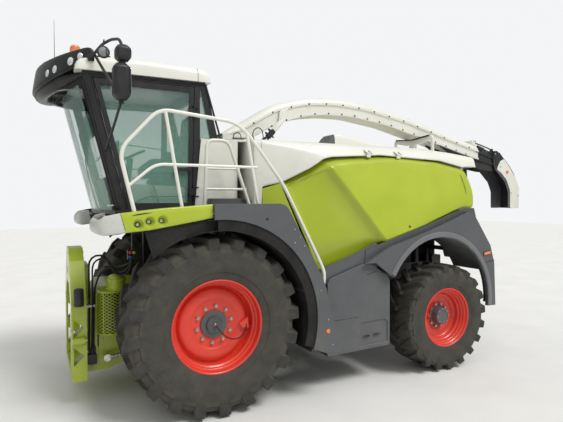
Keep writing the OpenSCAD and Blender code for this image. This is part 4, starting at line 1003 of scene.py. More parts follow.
RAILS = [([(-0.86, -1.6, 2.19), (-1.01, -1.6, 2.84), (-0.62, -1.6, 3.27), (0.21, -1.6, 3.19),
            (0.4, -1.6, 3.01), (0.76, -1.625, 2.53), (1.255, -1.688, 1.535), (1.262, -1.688, 1.44),
            (1.245, -1.688, 1.35)], 0.02, 0.13),
    ([(-0.935, -1.6, 2.485), (-0.66, -1.6, 2.715), (0.45, -1.6, 2.71)], 0.016, 0.1),
    ([(-0.558, -1.6, 3.26), (-0.47, -1.6, 2.73), (-0.38, -1.6, 2.19)], 0.018, 0.01),
    ([(0.33, -1.6, 3.08), (0.4, -1.6, 2.66), (0.48, -1.6, 2.19)], 0.018, 0.01),
    ([(0.0, -1.1, 2.19), (0.04, -1.1, 3.05), (0.3, -1.1, 3.05), (0.6, -1.1, 2.19)], 0.02, 0.09),
    ([(0.01, -1.1, 2.72), (0.2, -1.1, 2.72), (0.44, -1.1, 2.72)], 0.014, 0.01),
    ([(0.0, -1.1, 2.48), (0.2, -1.1, 2.48), (0.525, -1.1, 2.48)], 0.014, 0.01)]
rails = [tube(points, radius, bend) for points, radius, bend in RAILS]
for x, y in ((-0.86, -1.6), (-0.38, -1.6), (0.48, -1.6), (0.0, -1.1), (0.6, -1.1)):
    rails.append(on_z(turned([(0.042, 2.2003), (0.042, 2.206), (0.038, 2.2085), (0.022, 2.209)], 24), x, y))
piece("rail_tubes", rails, CREAM_ENAMEL, "machine", ["handrails"], mirror=True)

# Cab shell, door and glass.
# Black coated frame with bonded green safety glass; rubber lips, a wiper, the door's handle and rails are
# fitted on, and ribbed covers hide the windscreen's side edges.
dress("cab_shell cab_door", BLACK_TRIM)


def cab_pane():
    """Body tinted safety glass: green, mostly clear, with a hard polish; its turn from mint low down to
    darker grey toward the roof is a painted reflection.
    """
    made, tree, bsdf = finish("tinted_glass_painted_reflection", Roughness=0.03, Alpha=0.33, IOR=1.52, Coat_Weight=0.5,
        Coat_Roughness=0.02)
    rise = node(tree, "ShaderNodeSeparateXYZ", {0: place(tree)}).outputs["Z"]
    # Painted reflection: the glass is mint below 2.9 m and turns darker grey up to 3.7 m.
    painted_reflection_band = between(tree, rise, 2.9, 3.7)
    tone = blended(tree, painted_reflection_band, "#8fc4ad", "#73807f")
    tree.links.new(blended(tree, product(tree, grain(tree, 900, 1.0), 0.4), tone, "#8fb5ac"),
        bsdf.inputs["Base Color"])
    made.surface_render_method = "BLENDED"
    return made


CAB_PANE = cab_pane()
dress("cab_glass door_glass", CAB_PANE)


PILLAR_X, SILL_Z = -0.87, 2.2
LEAN = math.tan(math.radians(14))


def pillar_x(z, step):
    """x of the front pillar at a height, a step behind its front edge; it leans forward by 14 degrees."""
    return PILLAR_X + step - (z - SILL_Z) * LEAN


lips = []
for step, y, r in ((-0.012, -0.868, 0.011), (0.058, -0.869, 0.008)):
    lips.append(pipe([(pillar_x(z, step), y, z) for z in np.linspace(2.26, 3.7, 12)], r, 8))
lips.append(pipe([(x, -0.868, 3.735) for x in np.linspace(-1.22, 0.06, 12)], 0.012, 8))
lips.append(pipe([(x, -0.872, z) for x, z in zip(np.linspace(0.1, 0.285, 12), np.linspace(3.74, 3.1, 12))],
        0.012, 8))
piece("cab_lips", lips, BLACK_TRIM, "machine", mirror=True)
door_rails = [tube([(-0.845, -0.835, 2.285), (-0.742, -0.835, 2.318), (-0.591, -0.835, 2.394),
            (-0.09, -0.835, 2.401)], 0.009, 0.05),
    tube([(-0.545, -0.835, 2.6), (-0.49, -0.835, 2.42), (-0.435, -0.835, 2.225)], 0.009, 0.01),
    tube([(-0.76, -0.835, 2.705), (-0.5, -0.835, 2.712), (-0.3, -0.835, 2.712)], 0.006, 0.01)]
grip = [slab([(-0.29, 2.69), (-0.29, 2.73), (-0.1, 2.738), (-0.1, 2.698)], -0.905, -0.868, 0.012)]
piece("door_rails", door_rails, BLACK_TRIM, "cab_door")
piece("door_grip", grip, BLACK_TRIM, "cab_door", bevel=0.006)
catches = [slab([(x, z), (x + 0.035, z), (x + 0.035, z + 0.035), (x, z + 0.035)], -0.875, -0.866, 0.015)
    for x, z in ((-0.985, 2.8), (-0.975, 2.74))]
piece("door_catches", catches, BLACK_TRIM, "cab_door", bevel=0.003)


def screen_x(y, z, gap):
    """x of the windscreen's outside: a drum that leans by 14 degrees, less a gap.

    Its radius is (half squared + bulge squared) / (2 bulge)."""
    half, bulge = 0.865, 0.14
    radius = (half ** 2 + bulge ** 2) / (2 * bulge)
    return PILLAR_X - bulge + radius - math.sqrt(radius ** 2 - y * y) - (z - SILL_Z) * LEAN - gap


def wiper(base_y, base_z, tip_y, tip_z, blade_half):
    """An arm from its spindle to the blade's middle, and the blade across it, both standing off the glass."""
    s = np.linspace(0, 1, 10)
    arm = [(screen_x(y, z, 0.03 + 0.012 * math.sin(math.pi * t)), y, z)
        for t, y, z in zip(s, base_y + (tip_y - base_y) * s, base_z + (tip_z - base_z) * s)]
    blade = [(screen_x(tip_y + dy, tip_z + dz, 0.016), tip_y + dy, tip_z + dz)
        for dy, dz in ((0.02 * k, blade_half * k) for k in np.linspace(-1, 1, 10))]
    hub = pipe([(screen_x(base_y, base_z, g), base_y, base_z) for g in (-0.004, 0.02, 0.042)], 0.02, 14)
    return [pipe(arm, np.linspace(0.01, 0.006, 10), 8), pipe(blade, 0.008, 8), hub]


edge_z = np.linspace(2.16, 3.66, 16)
edge_y = np.array([-0.866, -0.85, -0.83, -0.8, -0.765, -0.735])
band = [[(screen_x(y, z, 0.006), y, z) for y in edge_y]
    + [(screen_x(y, z, 0.002), y, z) for y in edge_y[::-1]] for z in edge_z]
ribs = [pipe([(screen_x(y, z, 0.009), y, z) for z in edge_z], 0.006, 8) for y in (-0.858, -0.815, -0.735)]
piece("pillar_covers", [loft(band)] + ribs, BLACK_TRIM, "machine", mirror=True)
piece("screen_wiper", wiper(-0.1, 2.245, -0.16, 2.86, 0.3), BLACK_TRIM, "machine")
header = [plate([(-0.98, 3.655), (-0.99, 3.695), (-0.05, 3.695), (-0.05, 3.668)], -0.862, -0.83)]
piece("cab_header", header, BLACK_TRIM, "machine", mirror=True, bevel=0.004)

# Cab interior: sill lining, console, seats, monitor and steering column.
# Moulded trim in warm grey, and foam seats covered in dark woven cloth.
TRIM_BEIGE = satin("moulded_trim_beige", "#c9c6b8", "#b9b6a8", rough=0.5, soiled=0.1)
TRIM_GREY = satin("moulded_trim_grey", "#6d6f70", "#626465", rough=0.55, soiled=0.1)
lining = [slab([(-0.83, 2.3), (-0.86, 2.545), (-0.62, 2.535), (-0.14, 2.51), (-0.14, 2.3)], -0.806, -0.785,
        0.05, 5)]
piece("cab_sill_lining", lining, TRIM_BEIGE, "machine", mirror=True, bevel=0.006)
console = [slab([(-0.47, 2.66), (-0.47, 2.8), (-0.3, 2.93), (0.02, 2.93), (0.05, 2.66)], 0.3, 0.42, 0.04, 5),
    slab([(-0.3, 2.26), (-0.3, 2.68), (0.0, 2.68), (0.0, 2.26)], 0.305, 0.415, 0.02, 3),
    slab([(-0.93, 2.3), (-1.0, 2.62), (-0.93, 2.66), (-0.84, 2.3)], -0.45, 0.45, 0.03)]
piece("cab_console", console, TRIM_GREY, "machine", bevel=0.008)
monitor = [loft([[(x, y, z) for y, z in ((-0.6, 2.86), (-0.38, 2.86), (-0.38, 3.05), (-0.6, 3.05))]
            for x in (-0.885, -0.86)]),
    tube([(-0.86, -0.49, 2.92), (-0.8, -0.49, 2.75), (-0.86, -0.4, 2.48)], 0.014, 0.04)]
piece("cab_monitor", monitor, BLACK_TRIM, "machine", bevel=0.006)
wheel_turn = np.linspace(0, 2 * np.pi, 49)[:-1]
wheel_ring = np.c_[0.187 * np.cos(wheel_turn), 0.187 * np.sin(wheel_turn), np.zeros(48)]
tilt = np.array(Matrix.Rotation(math.radians(-25), 3, "Y"))


def torus(centre_line, radius, sides=12):
    """A closed tube round a closed flat line about its own middle."""
    n = len(centre_line)
    out = centre_line / np.linalg.norm(centre_line, axis=1)[:, None]
    a = 2 * np.pi * np.arange(sides) / sides
    rings = centre_line[:, None] + radius * (np.cos(a)[None, :, None] * out[:, None]
        + np.sin(a)[None, :, None] * [0, 0, 1])
    i, j = np.meshgrid(np.arange(n), np.arange(sides), indexing="ij")
    quads = np.stack([i * sides + j, ((i + 1) % n) * sides + j, ((i + 1) % n) * sides + (j + 1) % sides,
            i * sides + (j + 1) % sides], -1).reshape(-1, 4)
    return rings.reshape(-1, 3), quads.tolist()


ring_verts, ring_faces = torus(wheel_ring, 0.0165)
piece("steering_grip", [(ring_verts @ tilt.T + [-0.637, 0, 2.921], ring_faces)], BLACK_TRIM, "machine")


def seat_cloth():
    """Woven wool cloth: 2 mm threads drawn as crossed waves, coarser than the real ones so that they show."""
    made, tree, bsdf = finish("woven_seat_cloth", Roughness=0.9, Sheen_Weight=0.25, Specular_IOR_Level=0.25)
    at = place(tree)
    warp = node(tree, "ShaderNodeTexWave", {"Vector": at, "Scale": 78.0, "Distortion": 0.6},
        bands_direction="Y").outputs["Fac"]
    weft = node(tree, "ShaderNodeTexWave", {"Vector": at, "Scale": 78.0, "Distortion": 0.6},
        bands_direction="DIAGONAL").outputs["Fac"]
    weave = product(tree, warp, weft)
    tree.links.new(blended(tree, weave, "#2e3032", "#55585b"), bsdf.inputs["Base Color"])
    relief(tree, bsdf, weave, 0.8, 0.6)
    return made


SEAT_CLOTH = seat_cloth()


def swell(obj, cap, voxel=0.006):
    """Inflates a pad as cloth for twenty frames; each point may move only as far as the cap."""
    start_mesh = obj.data
    remesh = obj.modifiers.new("remesh", "REMESH")
    remesh.mode, remesh.voxel_size = "VOXEL", voxel
    evaluated = obj.evaluated_get(bpy.context.evaluated_depsgraph_get())
    obj.data = bpy.data.meshes.new_from_object(evaluated)
    obj.modifiers.clear()
    before = np.empty(3 * len(obj.data.vertices), np.float32)
    obj.data.vertices.foreach_get("co", before)
    cloth = obj.modifiers.new("cloth", "CLOTH")
    cloth.settings.use_pressure = True
    cloth.settings.uniform_pressure_force = 4.0
    cloth.settings.effector_weights.gravity = 0.0
    cloth.settings.quality = 5
    for frame_number in range(1, 21):
        bpy.context.scene.frame_set(frame_number)
    evaluated = obj.evaluated_get(bpy.context.evaluated_depsgraph_get())
    swollen = bpy.data.meshes.new_from_object(evaluated)
    obj.modifiers.clear()
    after = np.empty_like(before)
    swollen.vertices.foreach_get("co", after)
    move = (after - before).reshape(-1, 3)
    far = np.linalg.norm(move, axis=1)[:, None]
    move *= np.minimum(1.0, cap / np.maximum(far, 1e-9))
    obj.data.vertices.foreach_set("co", (before.reshape(-1, 3) + move).astype(np.float32).ravel())
    obj.data.materials.clear()
    obj.data.materials.append(start_mesh.materials[0])
    obj.data.shade_smooth()
    bpy.context.scene.frame_set(1)


def pad(name, path, width, thick, replaces=(), centre_y=0.0, nu=26, nw=22):
    """A crowned pad on a side-view line: it falls to its edge as the root of (1 - s^6) (1 - w^6)."""
    line = smooth_path([(x, 0, z) for x, z in path], nu)
    along = np.gradient(line, axis=0)
    along /= np.linalg.norm(along, axis=1)[:, None]
    up = np.c_[-along[:, 2], np.zeros(nu), along[:, 0]]
    s = np.linspace(-1, 1, nu)[:, None]
    w = np.linspace(-1, 1, nw)[None]
    crown = np.clip((1 - s ** 6) * (1 - w ** 6), 0, 1) ** 0.5
    groove = 0.01 * np.exp(-((np.abs(w) - 0.55) / 0.05) ** 2)
    top = thick * (0.18 + 0.82 * crown) - groove
    y = np.broadcast_to(centre_y + w * width / 2, (nu, nw))
    upper = line[:, None] * [1, 0, 1] + up[:, None] * top[..., None] + np.stack([0 * y, y, 0 * y], -1)
    lower = line[:, None] * [1, 0, 1] + np.stack([0 * y, y, 0 * y], -1)
    rings = np.concatenate([upper, lower[:, ::-1]], 1)
    made = piece(name, [loft(rings)], SEAT_CLOTH, "machine", replaces, crease=60)
    swell(made, 0.022)
    return made


pad("seat_cushion", [(0.05, 2.735), (-0.1, 2.725), (-0.25, 2.728), (-0.4, 2.745)][::-1], 0.49, 0.105,
    replaces=["operator_seat"])
pad("seat_back", [(-0.015, 2.86), (0.015, 3.0), (0.055, 3.16), (0.075, 3.28)][::-1], 0.45, 0.085)
pad("seat_headrest", [(0.062, 3.33), (0.075, 3.4), (0.085, 3.47)][::-1], 0.26, 0.07, nu=16, nw=14)
frame_parts = [loft([[(x, y, z) for x, z in ((-0.41, 2.7), (0.07, 2.7), (0.07, 2.735), (-0.41, 2.745))]
            for y in (-0.235, 0.235)]),
    loft([[(x, y, z) for x, z in ((0.0, 2.74), (0.045, 2.74), (0.118, 3.4), (0.085, 3.4))]
            for y in (-0.2, 0.2)]),
    loft([[(x, y, z) for x, z in ((-0.27, 2.26), (-0.03, 2.26), (-0.06, 2.7), (-0.24, 2.7))]
            for y in (-0.14, 0.14)])]
piece("seat_frame", frame_parts, BLACK_TRIM, "machine", bevel=0.012)
pad("mate_cushion", [(0.06, 2.66), (-0.1, 2.655), (-0.26, 2.66)][::-1], 0.32, 0.07, centre_y=0.62)
pad("mate_back", [(0.055, 2.78), (0.075, 2.95), (0.085, 3.12)][::-1], 0.3, 0.06, centre_y=0.62)
piece("mate_box", [slab([(-0.28, 2.26), (-0.28, 2.655), (0.14, 2.655), (0.14, 2.26)], 0.46, 0.78, 0.02)],
    TRIM_GREY, "machine", bevel=0.01)

# Cab roof.
# Moulded in one cream shell with rolled edges; a black strip covers the seam over the rear pillar.
ROOF_EDGE_Z = 3.7603


def roof_ring(x, half, top):
    """One cross-section: upright side, a shoulder rolled over 100 mm, a top 10 mm higher in its middle."""
    side_z = [ROOF_EDGE_Z, top - 0.1, top - 0.062, top - 0.034, top - 0.015, top - 0.004, top + 0.002,
        top + 0.008, top + 0.01]
    side_y = [half, half, half - 0.006, half - 0.018, half - 0.04, half - 0.075, half - 0.2, half - 0.5, 0.0]
    left = np.c_[np.full(9, x), -np.array(side_y), np.maximum(side_z, ROOF_EDGE_Z + 0.0001 * np.arange(9))]
    return np.vstack([left, (left * [1, -1, 1])[-2::-1]])


ROOF_LINE = ([-1.35, -1.343, -1.325, -1.29, -1.2, -0.95, -0.5, 0.06, 0.12, 0.155, 0.168],
    [3.79, 3.832, 3.866, 3.893, 3.918, 3.945, 3.954, 3.93, 3.912, 3.88, 3.835])
stations = np.concatenate([ROOF_LINE[0][:5], np.linspace(-1.1, -0.02, 14),
        [0.02, 0.06, 0.09, 0.12, 0.14, 0.155, 0.163, 0.168]])
halves = np.interp(stations, [-1.35, -1.325, -1.27, 0.09, 0.15, 0.168],
    [0.87, 0.895, 0.905, 0.905, 0.895, 0.875])
tops = np.interp(stations, *ROOF_LINE)
roof = loft([roof_ring(x, half, top) for x, half, top in zip(stations, halves, tops)])
piece("roof_shell", [roof], CREAM_ENAMEL, "machine", ["cab_roof"], crease=50)
strip = roof_ring(0.0, 0.9056, float(np.interp(0.0, *ROOF_LINE)) + 0.0006)
piece("roof_seam", [loft([strip + [dx, 0, 0] for dx in (-0.003, 0.003)])], BLACK_TRIM, "machine",
    crease=50)

# Visor with its work lamps, the beacon and the aerial.
# One black moulding sweeps round the roof's front and rises to the sides; oval lamps look out of its face.
# A thinner band below it and a backing sheet close the space up to the roof.
VISOR_X, VISOR_RADIUS = -0.82, 0.892


def visor_point(angle):
    """Centre line on a circle of 0.892 m in plan; the band rises and narrows with 1 - cos(angle)."""
    t = (1 - np.cos(angle)) / (1 - math.cos(math.radians(68)))
    return VISOR_X - VISOR_RADIUS * np.cos(angle), VISOR_RADIUS * np.sin(
        angle), 3.755 + 0.205 * t, 0.3 - 0.135 * t


def visor_band(count=90):
    """Rounded sections carried round the centre line; both ends close in a quarter ellipse."""
    angle = np.radians(np.linspace(-68, 68, count))[:, None]
    x, y, z, tall = visor_point(angle)
    end = np.sqrt(np.clip(1 - ((np.abs(np.degrees(angle)) - 62) / 6.2).clip(0) ** 2, 0.02, 1))
    s = 2 * np.pi * np.arange(28)[None] / 28
    power = 0.45
    across = np.sign(np.cos(s)) * np.abs(np.cos(s)) ** power * 0.032 * end
    high = np.sign(np.sin(s)) * np.abs(np.sin(s)) ** power * tall * 0.5 * (0.25 + 0.75 * end)
    lean = 0.16 * high
    out_x, out_y = -np.cos(angle), np.sin(angle)
    return loft(np.stack([x + out_x * (across - lean), y + out_y * (across - lean), z + high], -1))


LAMP_BLACK = satin("gloss_black_moulding", "#191a1b", "#1f2021", rough=0.28, texture=0.8, soiled=0.12,
    low=2.5)
brow = [tube([(-1.19, sign * 0.8, 3.8), (-1.2, sign * 0.83, 3.86), (-1.2, sign * 0.86, 3.92)], 0.035, 0.02)
    for sign in (-1, 1)]
chin = np.radians(np.linspace(-60, 60, 50))
under = [(VISOR_X - 0.84 * math.cos(a), 0.84 * math.sin(a), 3.615 + 0.1 * (1 - math.cos(a)) / 0.36)
    for a in chin]
band_under = pipe(under, np.interp(np.abs(np.degrees(chin)), [0, 45, 60], [0.085, 0.075, 0.03]), 14)
wall = np.radians(np.linspace(-79, 79, 60))
backing = loft([[(VISOR_X - r * math.cos(a), r * math.sin(a), z)
            for r, z in ((0.855, 3.59), (0.85, 3.95), (0.8, 3.95), (0.8, 3.59))] for a in wall])
piece("visor_band", [visor_band(), backing] + brow + [band_under], LAMP_BLACK, "machine",
    ["roof_visor"], crease=50)


def oval_lamp(degrees, drop, wide, tall):
    """A shallow oval dome on the visor's outer face, and the bezel round it."""
    a = math.radians(degrees)
    x, y, z, _ = (float(v) for v in visor_point(np.array(a)))
    out = np.array([-math.cos(a), math.sin(a), 0.1])
    out /= np.linalg.norm(out)
    side = np.array([math.sin(a), math.cos(a), 0.0])
    up = np.cross(side, out)
    up *= np.sign(up[2])
    centre = np.array([x, y, z + drop]) + out * 0.03
    turn = 2 * np.pi * np.arange(28) / 28

    def ring(scale, lift):
        return centre + out * lift + scale * (wide * np.cos(turn)[:, None] * side + tall
            * np.sin(turn)[:, None] * up)

    return (loft([ring(1.0, -0.02), ring(1.0, 0.004), ring(0.86, 0.01), ring(0.5, 0.014),
                ring(0.12, 0.0155)]),
        loft([ring(1.2, -0.02), ring(1.2, 0.002), ring(1.12, 0.006), ring(1.02, 0.006), ring(1.0, 0.0),
                ring(1.0, -0.02)]))


lamps = [oval_lamp(sign * degrees, drop, wide, tall) for sign in (-1, 1)
    for degrees, drop, wide, tall in ((32, -0.04, 0.034, 0.046), (39.5, -0.036, 0.036, 0.048),
        (52.5, -0.018, 0.036, 0.048), (59.5, -0.002, 0.032, 0.044))]
piece("visor_lamp_glasses", [glass for glass, _ in lamps], LAMP_GLASS, "machine")
piece("visor_lamp_bezels", [bezel for _, bezel in lamps], LAMP_BLACK, "machine")
beacon = turned([(0.05, 4.0505), (0.064, 4.056), (0.064, 4.075), (0.06, 4.082), (0.06, 4.15), (0.052, 4.174),
        (0.034, 4.187), (0.01, 4.19)], 36)
piece("beacon_dome", [on_z(beacon, -1.3, -0.25)], AMBER_LENS, "machine", ["beacon_and_aerial"])
feet = [on_z(turned([(0.068, 3.93), (0.068, 4.05), (0.06, 4.0505)], 28), -1.3, -0.25),
    on_z(turned([(0.028, 3.98), (0.028, 4.065), (0.022, 4.085), (0.01, 4.105), (0.006, 4.13)], 20), -1.5,
        0.45), pipe([(-1.5, 0.45, z) for z in np.linspace(4.12, 4.69, 12)], np.linspace(0.0045, 0.0018, 12),
        8)]
piece("aerial_and_feet", feet, BLACK_TRIM, "machine")

# Mirrors.
# Two glasses in a black two-part housing hang on a bent arm; a small round one hangs further in.
def chamfered_box(low, high, cut):
    """A box whose upright corners are cut, drawn as rings that narrow at the top and bottom."""
    x0, y0, z0 = low
    x1, y1, z1 = high
    rings = []
    for z, inset in ((z0, cut * 0.8), (z0 + cut, 0.0), (z1 - cut, 0.0), (z1, cut * 0.8)):
        a, b, c, d, k = x0 + inset, x1 - inset, y0 + inset, y1 - inset, cut * 0.75
        rings.append([(a + k, c, z), (b - k, c, z), (b, c + k, z), (b, d - k, z), (b - k, d, z),
                (a + k, d, z), (a, d - k, z), (a, c + k, z)])
    return loft(rings)


housings = [chamfered_box((-1.066, -1.71, 3.318), (-0.904, -1.53, 3.675), 0.045),
    chamfered_box((-1.042, -1.7, 3.692), (-0.897, -1.54, 3.848), 0.035)]
piece("mirror_housings", housings, BLACK_TRIM, "machine", ["mirrors"], mirror=True, bevel=0.01)
arms = [tube([(-1.19, -0.917, 3.885), (-1.1, -1.1, 3.985), (-1.033, -1.3, 3.99), (-0.985, -1.53, 3.935),
            (-0.97, -1.61, 3.835)], 0.015, 0.07),
    tube([(-1.16, -0.93, 3.93), (-1.05, -1.24, 3.6), (-0.985, -1.6, 3.312)], 0.015, 0.02),
    tube([(-0.985, -1.6, 3.312), (-1.01, -1.26, 3.12), (-1.046, -0.88, 2.9)], 0.013, 0.02),
    pipe([(-0.972, -1.62, z) for z in np.linspace(3.668, 3.7, 4)], 0.028, 14),
    pipe([(-0.985, -1.61, z) for z in np.linspace(3.29, 3.33, 4)], 0.024, 14)]
arms += [slab([(-1.225, 3.85), (-1.225, 3.92), (-1.155, 3.92), (-1.155, 3.85)], -0.925, -0.9055, 0.015),
    slab([(-1.066, 2.86), (-1.066, 2.94), (-1.022, 2.94), (-1.022, 2.86)], -0.888, -0.8655, 0.015)]
piece("mirror_arms", arms, BLACK_TRIM, "machine", mirror=True)
round_mirror = [closed_turned([(0.048, 0.0), (0.062, 0.004), (0.066, 0.012), (0.06, 0.024), (0.046, 0.02)],
        32), turned([(0.058, 0.02), (0.06, 0.034), (0.04, 0.046), (0.012, 0.05)], 32)]
hang = tube([(-1.085, -1.17, 4.015), (-1.092, -1.2, 3.99), (-1.095, -1.2, 3.955)], 0.008, 0.01)
piece("round_mirror_shell", [(v + [-1.095, -1.2, 3.885], f) for v, f in round_mirror] + [hang], BLACK_TRIM,
    "machine", mirror=True)
MIRROR_GLASS = plain_metal("silvered_glass", "#eef1f2", 0.05, spot=60)
disc = turned([(0.05, 0.004), (0.05, 0.0015), (0.02, -0.001)], 32)
faces_back = [loft([[(-0.9025 + dx, y, z) for y, z in rounded([(-1.69, 3.37), (-1.55, 3.37), (-1.55, 3.63),
                        (-1.69, 3.63)], 0.02, 4)] for dx in (-0.004, 0.0)]),
    loft([[(-0.8955 + dx, y, z) for y, z in rounded([(-1.68, 3.73), (-1.56, 3.73), (-1.56, 3.82),
                        (-1.68, 3.82)], 0.02, 4)] for dx in (-0.004, 0.0)])]
piece("mirror_glasses", [(disc[0] + [-1.095, -1.2, 3.885], disc[1])] + faces_back, MIRROR_GLASS, "machine",
    mirror=True)

# Spout arm, with its rest on the hood.
# Folded steel duct in cream enamel, open below: crowned top, bolted lips on both sides, a black tail.
SPOUT_TOP = ([0.56, 0.66, 0.97, 1.37, 1.87, 2.41, 2.98, 3.81, 4.71, 5.45, 5.85],
    [3.25, 3.33, 3.51, 3.748, 3.882, 3.92, 3.882, 3.738, 3.505, 3.33, 3.226])
SPOUT_UNDER = ([0.8, 1.04, 1.24, 1.61, 1.87, 2.23, 2.69, 3.38, 3.8, 4.2, 4.6, 5.02, 5.45, 5.85],
    [3.215, 3.235, 3.37, 3.525, 3.6, 3.645, 3.65, 3.56, 3.462, 3.372, 3.275, 3.17, 3.07, 2.99])


def spout_height(x):
    top = soft_curve(SPOUT_TOP, x, 0.12)
    return top, np.minimum(soft_curve(SPOUT_UNDER, x, 0.1), top - 0.03)


def duct(stations):
    """Half of the section, left of the middle, from its foot over both lips to the crown, then the inside.

    Every offset from the crown and the foot shrinks with the duct's height where that is under 0.22 m."""
    half = [(-0.176, 0, 0.0), (-0.196, 0, 0.004), (-0.196, 0, 0.034), (-0.178, 0, 0.04), (-0.178, 1, -0.122),
        (-0.196, 1, -0.117), (-0.196, 1, -0.09), (-0.18, 1, -0.084), (-0.174, 1, -0.06), (-0.158, 1, -0.034),
        (-0.132, 1, -0.014), (-0.095, 1, -0.004), (0.0, 1, 0.0)]
    inner = [(0.0, 1, -0.014), (-0.12, 1, -0.03), (-0.164, 1, -0.1), (-0.164, 0, 0.0)]
    section = half + [(-y, k, d) for y, k, d in half[-2::-1]] + [(-y, k, d)
        for y, k, d in inner[::-1]] + inner[1:]
    y, crown, offset = (np.array(column, float) for column in zip(*section))
    top, foot = spout_height(stations)
    scale = np.minimum(1.0, (top - foot) / 0.22)[:, None]
    z = np.where(crown[None] > 0, top[:, None], foot[:, None]) + offset[None] * scale
    return np.stack([np.broadcast_to(stations[:, None], z.shape), np.broadcast_to(y[None], z.shape), z], -1)


body_x = np.concatenate([np.linspace(0.56, 1.0, 12), np.linspace(1.05, 5.46, 80)])
piece("spout_duct", [loft(duct(body_x))], CREAM_ENAMEL, "spout_arm", ["spout_arm"], crease=40)
tail_x = np.linspace(5.4, 5.862, 14)
tail = duct(tail_x) * [1, 0.93, 1] - [0, 0, 0.012]
piece("spout_tail", [loft(tail)], BLACK_TRIM, "spout_arm", crease=40)


def lining(side):
    """A black curtain inside the duct that hangs up to 0.155 m below its lips, from the rest to the flap:
    painted shade of the duct's open underside.
    """
    x = np.linspace(4.52, 5.86, 40)
    low = spout_height(x)[1]
    drop = np.interp(x, [4.52, 5.02, 5.4, 5.86], [0.002, 0.15, 0.155, 0.125])
    rows = [np.c_[x, np.full(40, side * 0.158), low + 0.03],
        np.c_[x, np.full(40, side * 0.16), low - 0.45 * drop],
        np.c_[x, np.full(40, side * 0.156), low - drop], np.c_[x, np.full(40, side * 0.146), low - drop],
        np.c_[x, np.full(40, side * 0.148), low + 0.03]]
    return loft(np.stack(rows, 1))


# This black sheet is real rubber on the spout's rest, and painted shade where it hangs as the curtain under
# the duct.
RUBBER_AND_SHADE_SHEET = satin("black_rubber_and_painted_shade", "#1b1c1c", "#222322", rough=0.6, texture=3.0, soiled=0.3, low=2.6)
piece("spout_shade_curtain", [lining(-1), lining(1)], RUBBER_AND_SHADE_SHEET, "spout_arm")
screws = [(x, float(spout_height(x)[0]) - 0.104) for x in np.arange(1.02, 5.3, 0.3)]
screws += [(x, float(spout_height(x)[1]) + 0.019) for x in np.arange(1.3, 5.3, 0.24)]
heads = at_places(turned([(0.013, -0.1955), (0.013, -0.2005), (0.008, -0.2055), (0.003, -0.206)], 10), screws)
piece("spout_screws", heads, CHASSIS_PAINT, "spout_arm", mirror=True)
lug = [slab([(1.405, 3.475), (1.425, 3.64), (1.56, 3.69), (1.52, 3.52), (1.475, 3.462)], -0.214, -0.197,
        0.02), slab([(5.36, 3.345), (5.37, 3.425), (5.45, 3.415), (5.47, 3.325)], -0.12, 0.12, 0.012, 3)]
piece("spout_lugs", lug, CREAM_ENAMEL, "spout_arm", bevel=0.003)
links = [plate([(5.455, 3.365), (5.5, 3.44), (5.56, 3.425), (5.52, 3.33)], -0.045, 0.045)]
for y in (-0.105, 0.105):
    links += [pipe([(5.43, y, 3.385), (5.6, y, 3.352), (5.8, y, 3.3), (5.885, y, 3.272)], 0.012, 10),
        plate([(5.84, 3.215), (5.865, 3.29), (5.905, 3.286), (5.905, 3.258), (5.88, 3.215)], y - 0.012,
            y + 0.012)]
links += [pipe([(5.46, -0.16, 3.312), (5.62, -0.16, 3.268)], 0.024, 14),
    pipe([(5.6, -0.16, 3.274), (5.86, -0.16, 3.198)], 0.012, 12)]
piece("flap_links", links, BLACK_TRIM, "spout_arm", bevel=0.003)


def crossways(outline, x0, x1):
    """A closed outline in Y and Z drawn out along X."""
    return loft([[(x, y, z) for y, z in outline] for x in (x0, x1)])


wings = [crossways([(0.0, 3.3), (0.0, 3.366), (-0.1, 3.372), (-0.41, 3.402), (-0.44, 3.385), (-0.44, 3.35),
            (-0.38, 3.335), (-0.16, 3.29)], 4.085, 4.11),
    plate([(3.985, 2.985), (4.075, 3.33), (4.12, 3.33), (4.12, 2.975)], -0.06, 0.0),
    tube([(4.098, -0.4, 3.388), (4.098, -0.455, 3.384), (4.098, -0.46, 3.2), (4.098, -0.46, 2.965)], 0.028,
        0.03), on_z(turned([(0.06, 2.972), (0.06, 2.99), (0.052, 2.996), (0.03, 2.998)], 24), 4.098, -0.46)]
piece("spout_rest_frame", wings, CREAM_ENAMEL, "machine", mirror=True, bevel=0.004)
cushion = [crossways([(0.0, 3.366), (0.0, 3.384), (-0.1, 3.39), (-0.4, 3.42), (-0.415, 3.402), (-0.1, 3.372)],
        4.055, 4.14)]
piece("spout_rest_rubber", cushion, RUBBER_AND_SHADE_SHEET, "machine", mirror=True)

# Spout turret and the lift ram.
# Cream cast and welded base; the ram's rod wears a cream sleeve, its foot a black valve and two hoses.
dress("spout_turret", CREAM_ENAMEL)
ram_foot, ram_head = np.array([1.18, -0.245, 3.205]), np.array([1.45, -0.245, 3.5])
sleeve = pipe([ram_foot + (ram_head - ram_foot) * t for t in (0.46, 0.48, 0.7, 0.9, 0.955, 0.965)],
    [0.033, 0.037, 0.037, 0.037, 0.035, 0.02], 24)
eye = turned([(0.026, -0.268), (0.034, -0.265), (0.034, -0.225), (0.026, -0.222)], 24)
piece("ram_sleeve", [sleeve] + at_places(eye, [(1.45, 3.5)]), CREAM_ENAMEL, "spout_rod")
along = (ram_head - ram_foot) / np.linalg.norm(ram_head - ram_foot)
upright = np.array([-along[2], 0, along[0]])
corners = ((0.05, -0.036), (0.175, -0.036), (0.175, 0.036), (0.05, 0.036))
valve = [loft([[ram_foot + along * s + upright * h + [0, y, 0] for s, h in corners]
            for y in (-0.034, 0.034)])]
valve += [pipe([ram_foot + along * s + upright * h for h in (0.03, 0.062, 0.075)], (0.016, 0.016, 0.01), 12)
    for s in (0.075, 0.145)]
valve += [pipe([ram_foot + along * 0.11 + upright * h for h in (-0.034, -0.07)], 0.012, 12)]
piece("ram_valve", valve, BLACK_TRIM, "spout_cylinder", bevel=0.004)
